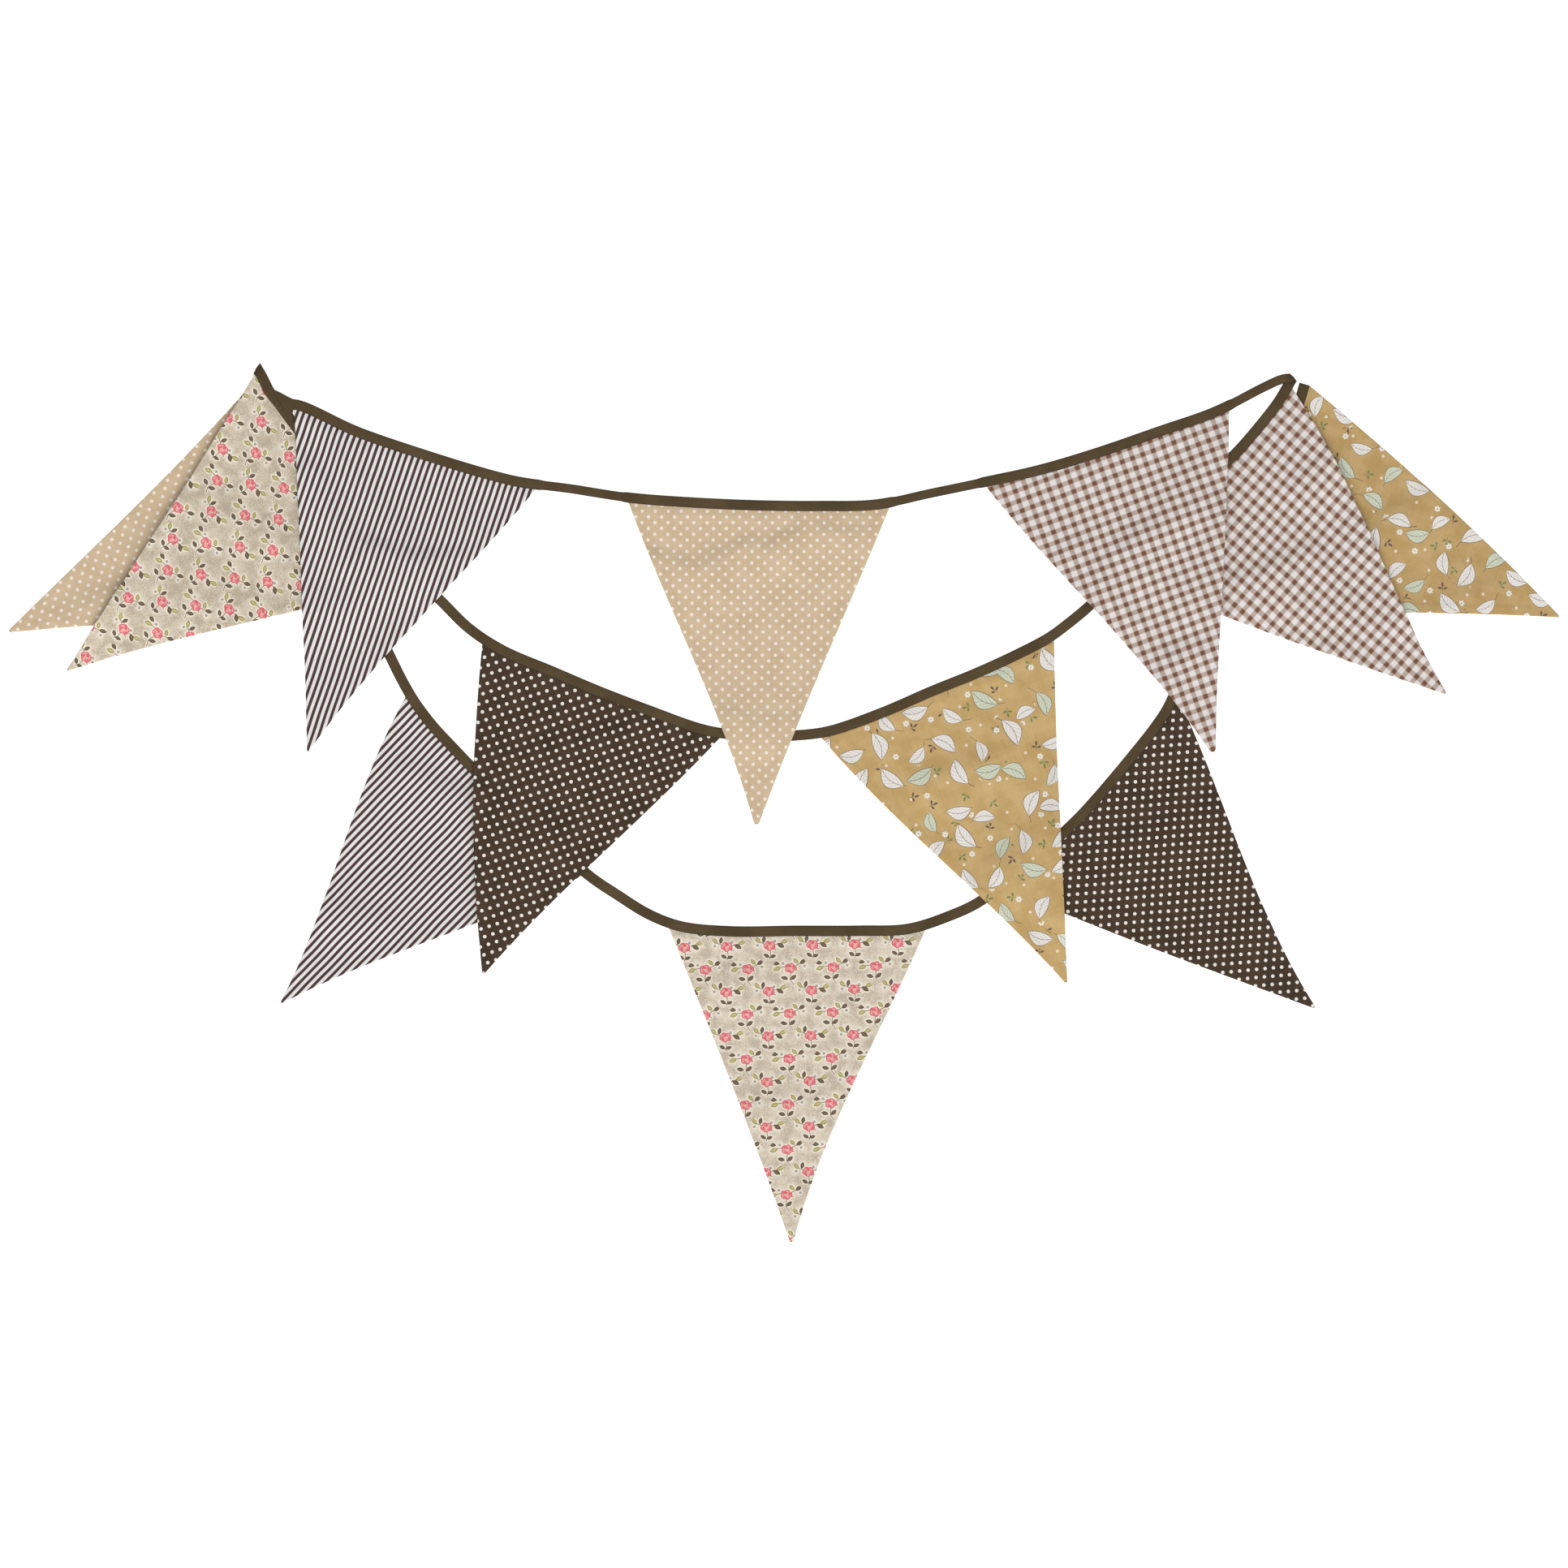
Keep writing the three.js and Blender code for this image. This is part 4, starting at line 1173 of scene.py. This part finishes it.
def mustard_cotton(name):
    cotton = Cotton(name + "_sprigs")
    turn = MUSTARD_TURN[name]
    colour = cotton.mottled(*MUSTARD_GROUNDS[name], MUSTARD_MOTTLING)

    x, y, size, tint = tossed(cotton, "leaf", turn)
    grown = size * 0.35 + 0.8
    blade, stalk, vein, ribs = big_leaf(x / grown, y / grown)
    leaf = blade.maths("MAXIMUM", stalk)
    clear = 1 - leaf.rise(*LEAF_CLEARANCE)

    x, y, hue, _ = tossed(cotton, "sprig", turn)
    sprig_stem = (0.14 - abs(y)).maths("MINIMUM", 2.2 - abs(x + 0.6))
    sprig = nearest_of([leaf_shape(x, y, *plan) for plan in SPRIG_LEAVES] + [sprig_stem])
    sprig_ink = hue.rise(0.45, 0.55).colour(dyed(INK_GREEN), dyed(INK_BROWN))

    x, y, _, _ = tossed(cotton, "daisy", turn)
    away = distance(x, y)
    petals = (y.maths("ARCTAN2", x) * DAISY_PETALS).maths("COSINE")
    daisy = petals * PETAL_DEPTH + DAISY_RADIUS - away
    eye = EYE_RADIUS - away
    x, y, _, _ = tossed(cotton, "dot", turn)
    dot = DOT_RADIUS - distance(x, y)

    for shape, ink in ((dot, dyed(DOT_CREAM)), (sprig, sprig_ink), (daisy, dyed(OFF_WHITE)),
                       (eye, dyed(MUSTARD_GROUNDS[name][0]))):
        colour = (shape.rise(-INK_SOFTNESS, INK_SOFTNESS) * clear).colour(colour, ink)
    colour = leaf.rise(-INK_SOFTNESS, INK_SOFTNESS).colour(colour, dyed(INK_BROWN))
    filling = tint.rise(0.7, 0.72).colour(dyed(OFF_WHITE), dyed(LEAF_TINT))
    colour = (blade - LEAF_OUTLINE).rise(-INK_SOFTNESS, INK_SOFTNESS).colour(colour, filling)
    drawn = vein.rise(-0.1, 0.1).maths("MAXIMUM", ribs.rise(-0.04, 0.04) * 0.5)
    within = (blade - 0.5).rise(-0.1, 0.1)
    colour = (drawn * within).colour(colour, dyed(INK_BROWN))
    return cotton.finish(colour)


sew_flag("mustard_flag_1", mustard_cotton("mustard_flag_1"))
sew_flag("mustard_flag_2", mustard_cotton("mustard_flag_2"))

# The binding tape
# One length of dark olive-brown bias tape, folded over the flags' upper edges: a rounded folded
# edge, a leaf on each side of the flags, and its two lips caught by one line of stitches.
TAPE_LIGHT = (88, 73, 50)
TAPE_DARK = (78, 64, 42)
# The colour of the painted shade that darkens the tape at its lips, along its folded edge and round the
# folds.
TAPE_SHADE_COLOUR = (58, 42, 32)
TAPE_MOTTLING = 35
# Where across the tape and how far round each fold the painted shade falls, and how dark it is there.
LIP_SHADE = (3.0 * MM, 3.5 * MM)
LIP_DARKNESS = 0.85
EDGE_SHADE = (-3.7 * MM, -3.2 * MM)
EDGE_DARKNESS = 0.5
FOLD_SHADE = (1.5 * MM, 9 * MM)
FOLD_DARKNESS = 0.55
FOLD_STEPS = 12
FOLD_PINCH = 0.3
FOLD_FULLNESS = 0.6
CROWN = 0.10 * MM
STITCH_INSET = 1.3 * MM
GROOVE = 0.05 * MM


def tape_section(half, slot):
    """Points round the tape's section: how far each is across the tape and through it.

    They run over the upper leaf from its lip to the folded edge, back under the lower leaf, and
    round the slot between the two leaves, with a groove where the stitches pull the cloth in.
    """
    face = slot / 2 + LEAF
    inner = 1.2 * MM - half
    upper = [
        (half - 0.02 * MM, slot / 2 + 0.25 * LEAF), (half, face - 0.3 * LEAF), (half - 0.14 * MM, face),
        (half - STITCH_INSET + 0.5 * MM, face), (half - STITCH_INSET, face - GROOVE),
        (half - STITCH_INSET - 0.5 * MM, face + 0.02 * MM), (0, face + CROWN),
        (-half + 1.6 * MM, face + 0.03 * MM), (-half + face, 0.97 * face),
        (-half + 0.45 * face, 0.78 * face), (-half + 0.1 * face, 0.4 * face),
    ]
    under = [(across, -through) for across, through in upper[::-1]]
    lip = half - 0.1 * MM
    inside = [(lip, -slot / 2), (inner, -slot / 2), (inner, slot / 2), (lip, slot / 2)]
    return np.array(upper + [(-half, 0)] + under + inside)


def tape_ring(middle, across, normal, half, slot):
    """The tape's section as a ring of points, set where the tape runs."""
    section = tape_section(half, slot)
    return middle + section[:, :1] * across + section[:, 1:] * normal


def raised(place, height):
    """A point or a line of the table, at a height over it."""
    return np.array([*place, height])


def fold_over(strand, following, sign):
    """The rings of the fold that takes the tape from one strand down to the next, and its radius."""
    top, bottom = strand.mid[-1], following.mid[0]
    radius = (top - bottom) / 2
    centre = raised(strand.middle(strand.length), (top + bottom) / 2)
    last_line = raised(strand.across(strand.marks[-1:])[0], 0)
    next_line = raised(following.across(following.marks[:1])[0], 0)
    outward = np.array([last_line[1], -last_line[0], 0])
    outward *= np.sign(outward[0] * centre[0]) / np.linalg.norm(outward)
    folded = []
    for share in np.arange(1, FOLD_STEPS) / FOLD_STEPS:
        spoke = np.array([0, 0, math.cos(math.pi * share)]) + outward * math.sin(math.pi * share)
        line = last_line * (1 - share) + next_line * share
        slot = strand.slot[-1] * (1 - share) + following.slot[0] * share
        half = strand.half[-1] * (1 - share) + following.half[0] * share
        ring = tape_ring(centre + spoke * radius, line, spoke * sign, half, slot)
        opening = FOLD_PINCH + (1 - FOLD_PINCH) * ease(tape_section(half, slot)[:, 0] / half + 1)
        bulge = (ring - centre) @ outward * (1 - opening * FOLD_FULLNESS)
        folded.append(ring - bulge[:, None] * outward)
    return folded, radius


rings = []
ring_marks = []
fold_marks = []
stitch_guides = []
run_so_far = 0
order = ["upper", "middle", "lower"]
face_up = {"upper": 1, "middle": -1, "lower": 1}
for strand_name, next_name in zip(order, order[1:] + [None]):
    strand = strands[strand_name]
    middles = np.column_stack([strand.middle(strand.marks), strand.mid])
    crosses = np.column_stack([strand.across(strand.marks), np.zeros(len(strand.marks))])
    normal = np.array([0, 0, face_up[strand_name]])
    for middle, across, half, slot in zip(middles, crosses, strand.half, strand.slot):
        rings.append(tape_ring(middle, across, normal, half, slot))
    ring_marks.extend(run_so_far + strand.marks)
    seams = middles + crosses * (strand.half - STITCH_INSET)[:, None]
    stitch_guides.append((seams, strand.slot / 2 + LEAF - GROOVE))
    run_so_far += strand.length
    if next_name:
        folded, radius = fold_over(strand, strands[next_name], face_up[strand_name])
        rings.extend(folded)
        ring_marks.extend(run_so_far + math.pi * radius * np.arange(1, FOLD_STEPS) / FOLD_STEPS)
        fold_marks.append(run_so_far + math.pi * radius / 2)
        run_so_far += math.pi * radius

ring_size = len(rings[0])
corners = np.vstack(rings)
faces = []
for ring in range(1, len(rings)):
    before, here = (ring - 1) * ring_size, ring * ring_size
    for k in range(ring_size):
        following_k = (k + 1) % ring_size
        faces.append((before + k, before + following_k, here + following_k, here + k))
faces.append(tuple(reversed(range(ring_size))))
faces.append(tuple(range(len(corners) - ring_size, len(corners))))
tape_mesh = bpy.data.meshes.new("folded_tape")
tape_mesh.from_pydata(corners.tolist(), [], faces)
section_across = tape_section(TAPE_HALF_WIDTH, GRIP_SLOT)[:, 0]
tape_places = np.column_stack([np.repeat(ring_marks, ring_size), np.tile(section_across, len(rings))])
tape_layer = tape_mesh.uv_layers.new(name="cloth")
loop_points = np.zeros(len(tape_mesh.loops), int)
tape_mesh.loops.foreach_get("vertex_index", loop_points)
tape_layer.data.foreach_set("uv", tape_places[loop_points].ravel())
tape_mesh.shade_smooth()

# Painted shade: the tape is painted darker at its lips, along its folded edge and round the two folds
# of the string, where shade falls on it.
bias = Cotton("tape_cotton")
painted_tape_shades = [bias.v.rise(*LIP_SHADE) * LIP_DARKNESS, (1 - bias.v.rise(*EDGE_SHADE)) * EDGE_DARKNESS]
painted_tape_shades += [(1 - abs(bias.u - mark).rise(*FOLD_SHADE)) * FOLD_DARKNESS for mark in fold_marks]
tape_colour = bias.mottled(TAPE_DARK, TAPE_LIGHT, TAPE_MOTTLING)
for share in painted_tape_shades:
    tape_colour = share.colour(tape_colour, dyed(TAPE_SHADE_COLOUR))
tape_mesh.materials.append(bias.finish(tape_colour))
tape = bpy.data.objects.new("folded_tape", tape_mesh)
bpy.context.collection.objects.link(tape)
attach(tape, "root")
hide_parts("binding_tape")

# The stitches
# One line of dark thread holds the two lips together along the whole tape. Each stitch shows as
# a short raised bar, half sunk in the cloth.
THREAD = (86, 71, 49)
THREAD_ROUGHNESS = 0.7
THREAD_TWIST = 2500
THREAD_RADIUS = 0.13 * MM
STITCH_LENGTH = 2.3 * MM
STITCH_PITCH = 2.8 * MM
STITCH_SIDES = 5
STITCH_RINGS = ((-0.42, 0.75), (0.0, 1.0), (0.42, 0.75))
STITCH_ENDS = (-0.5, 0.5)
UPRIGHT = np.array([0, 0, 1])

stitch_points = []
stitch_faces = []


def add_stitch(centre, along):
    """Adds one stitch: rings of points round its thread, and a point at each end."""
    aside = np.array([along[1], -along[0], 0])
    base = len(stitch_points)
    for place, swell in STITCH_RINGS:
        for turn in 2 * math.pi * np.arange(STITCH_SIDES) / STITCH_SIDES:
            spoke = (aside * math.cos(turn) + UPRIGHT * math.sin(turn)) * THREAD_RADIUS * swell
            stitch_points.append(centre + along * STITCH_LENGTH * place + spoke)
    stitch_points.extend([centre + along * STITCH_LENGTH * place for place in STITCH_ENDS])
    first_end = base + len(STITCH_RINGS) * STITCH_SIDES
    last_ring = first_end - STITCH_SIDES
    for k in range(STITCH_SIDES):
        after = (k + 1) % STITCH_SIDES
        for ring in range(base, last_ring, STITCH_SIDES):
            beyond = ring + STITCH_SIDES
            stitch_faces.append((ring + k, ring + after, beyond + after, beyond + k))
        stitch_faces.append((first_end, base + after, base + k))
        stitch_faces.append((first_end + 1, last_ring + k, last_ring + after))


for seams, throughs in stitch_guides:
    walked = np.concatenate([[0], np.cumsum(np.linalg.norm(np.diff(seams, axis=0), axis=1))])
    for side in (-1, 1):
        for middle in np.arange(STITCH_PITCH, walked[-1] - STITCH_PITCH, STITCH_PITCH):
            ends = middle + STITCH_LENGTH * np.array(STITCH_ENDS)
            first, last = np.column_stack([np.interp(ends, walked, axis) for axis in seams.T])
            run = last - first
            lift = UPRIGHT * np.interp(middle, walked, throughs) * side
            add_stitch((first + last) / 2 + lift, run / np.linalg.norm(run))
stitch_mesh = bpy.data.meshes.new("tape_stitches")
stitch_mesh.from_pydata([tuple(point) for point in stitch_points], [], stitch_faces)
stitch_mesh.shade_smooth()
thread = bpy.data.materials.new("sewing_thread")
thread.use_nodes = True
thread_shader = thread.node_tree.nodes["Principled BSDF"]
twist_place = Value(thread.node_tree.nodes.new("ShaderNodeTexCoord").outputs["Object"])
twist = twist_place.noise(THREAD_TWIST, detail=1.0, kind="3D")
thread_colour = twist.rise(*MOTTLING).colour(dyed(TAPE_DARK), dyed(THREAD))
thread.node_tree.links.new(thread_colour.socket, thread_shader.inputs["Base Color"])
thread_shader.inputs["Roughness"].default_value = THREAD_ROUGHNESS
stitch_mesh.materials.append(thread)
stitches = bpy.data.objects.new("tape_stitches", stitch_mesh)
bpy.context.collection.objects.link(stitches)
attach(stitches, "root")
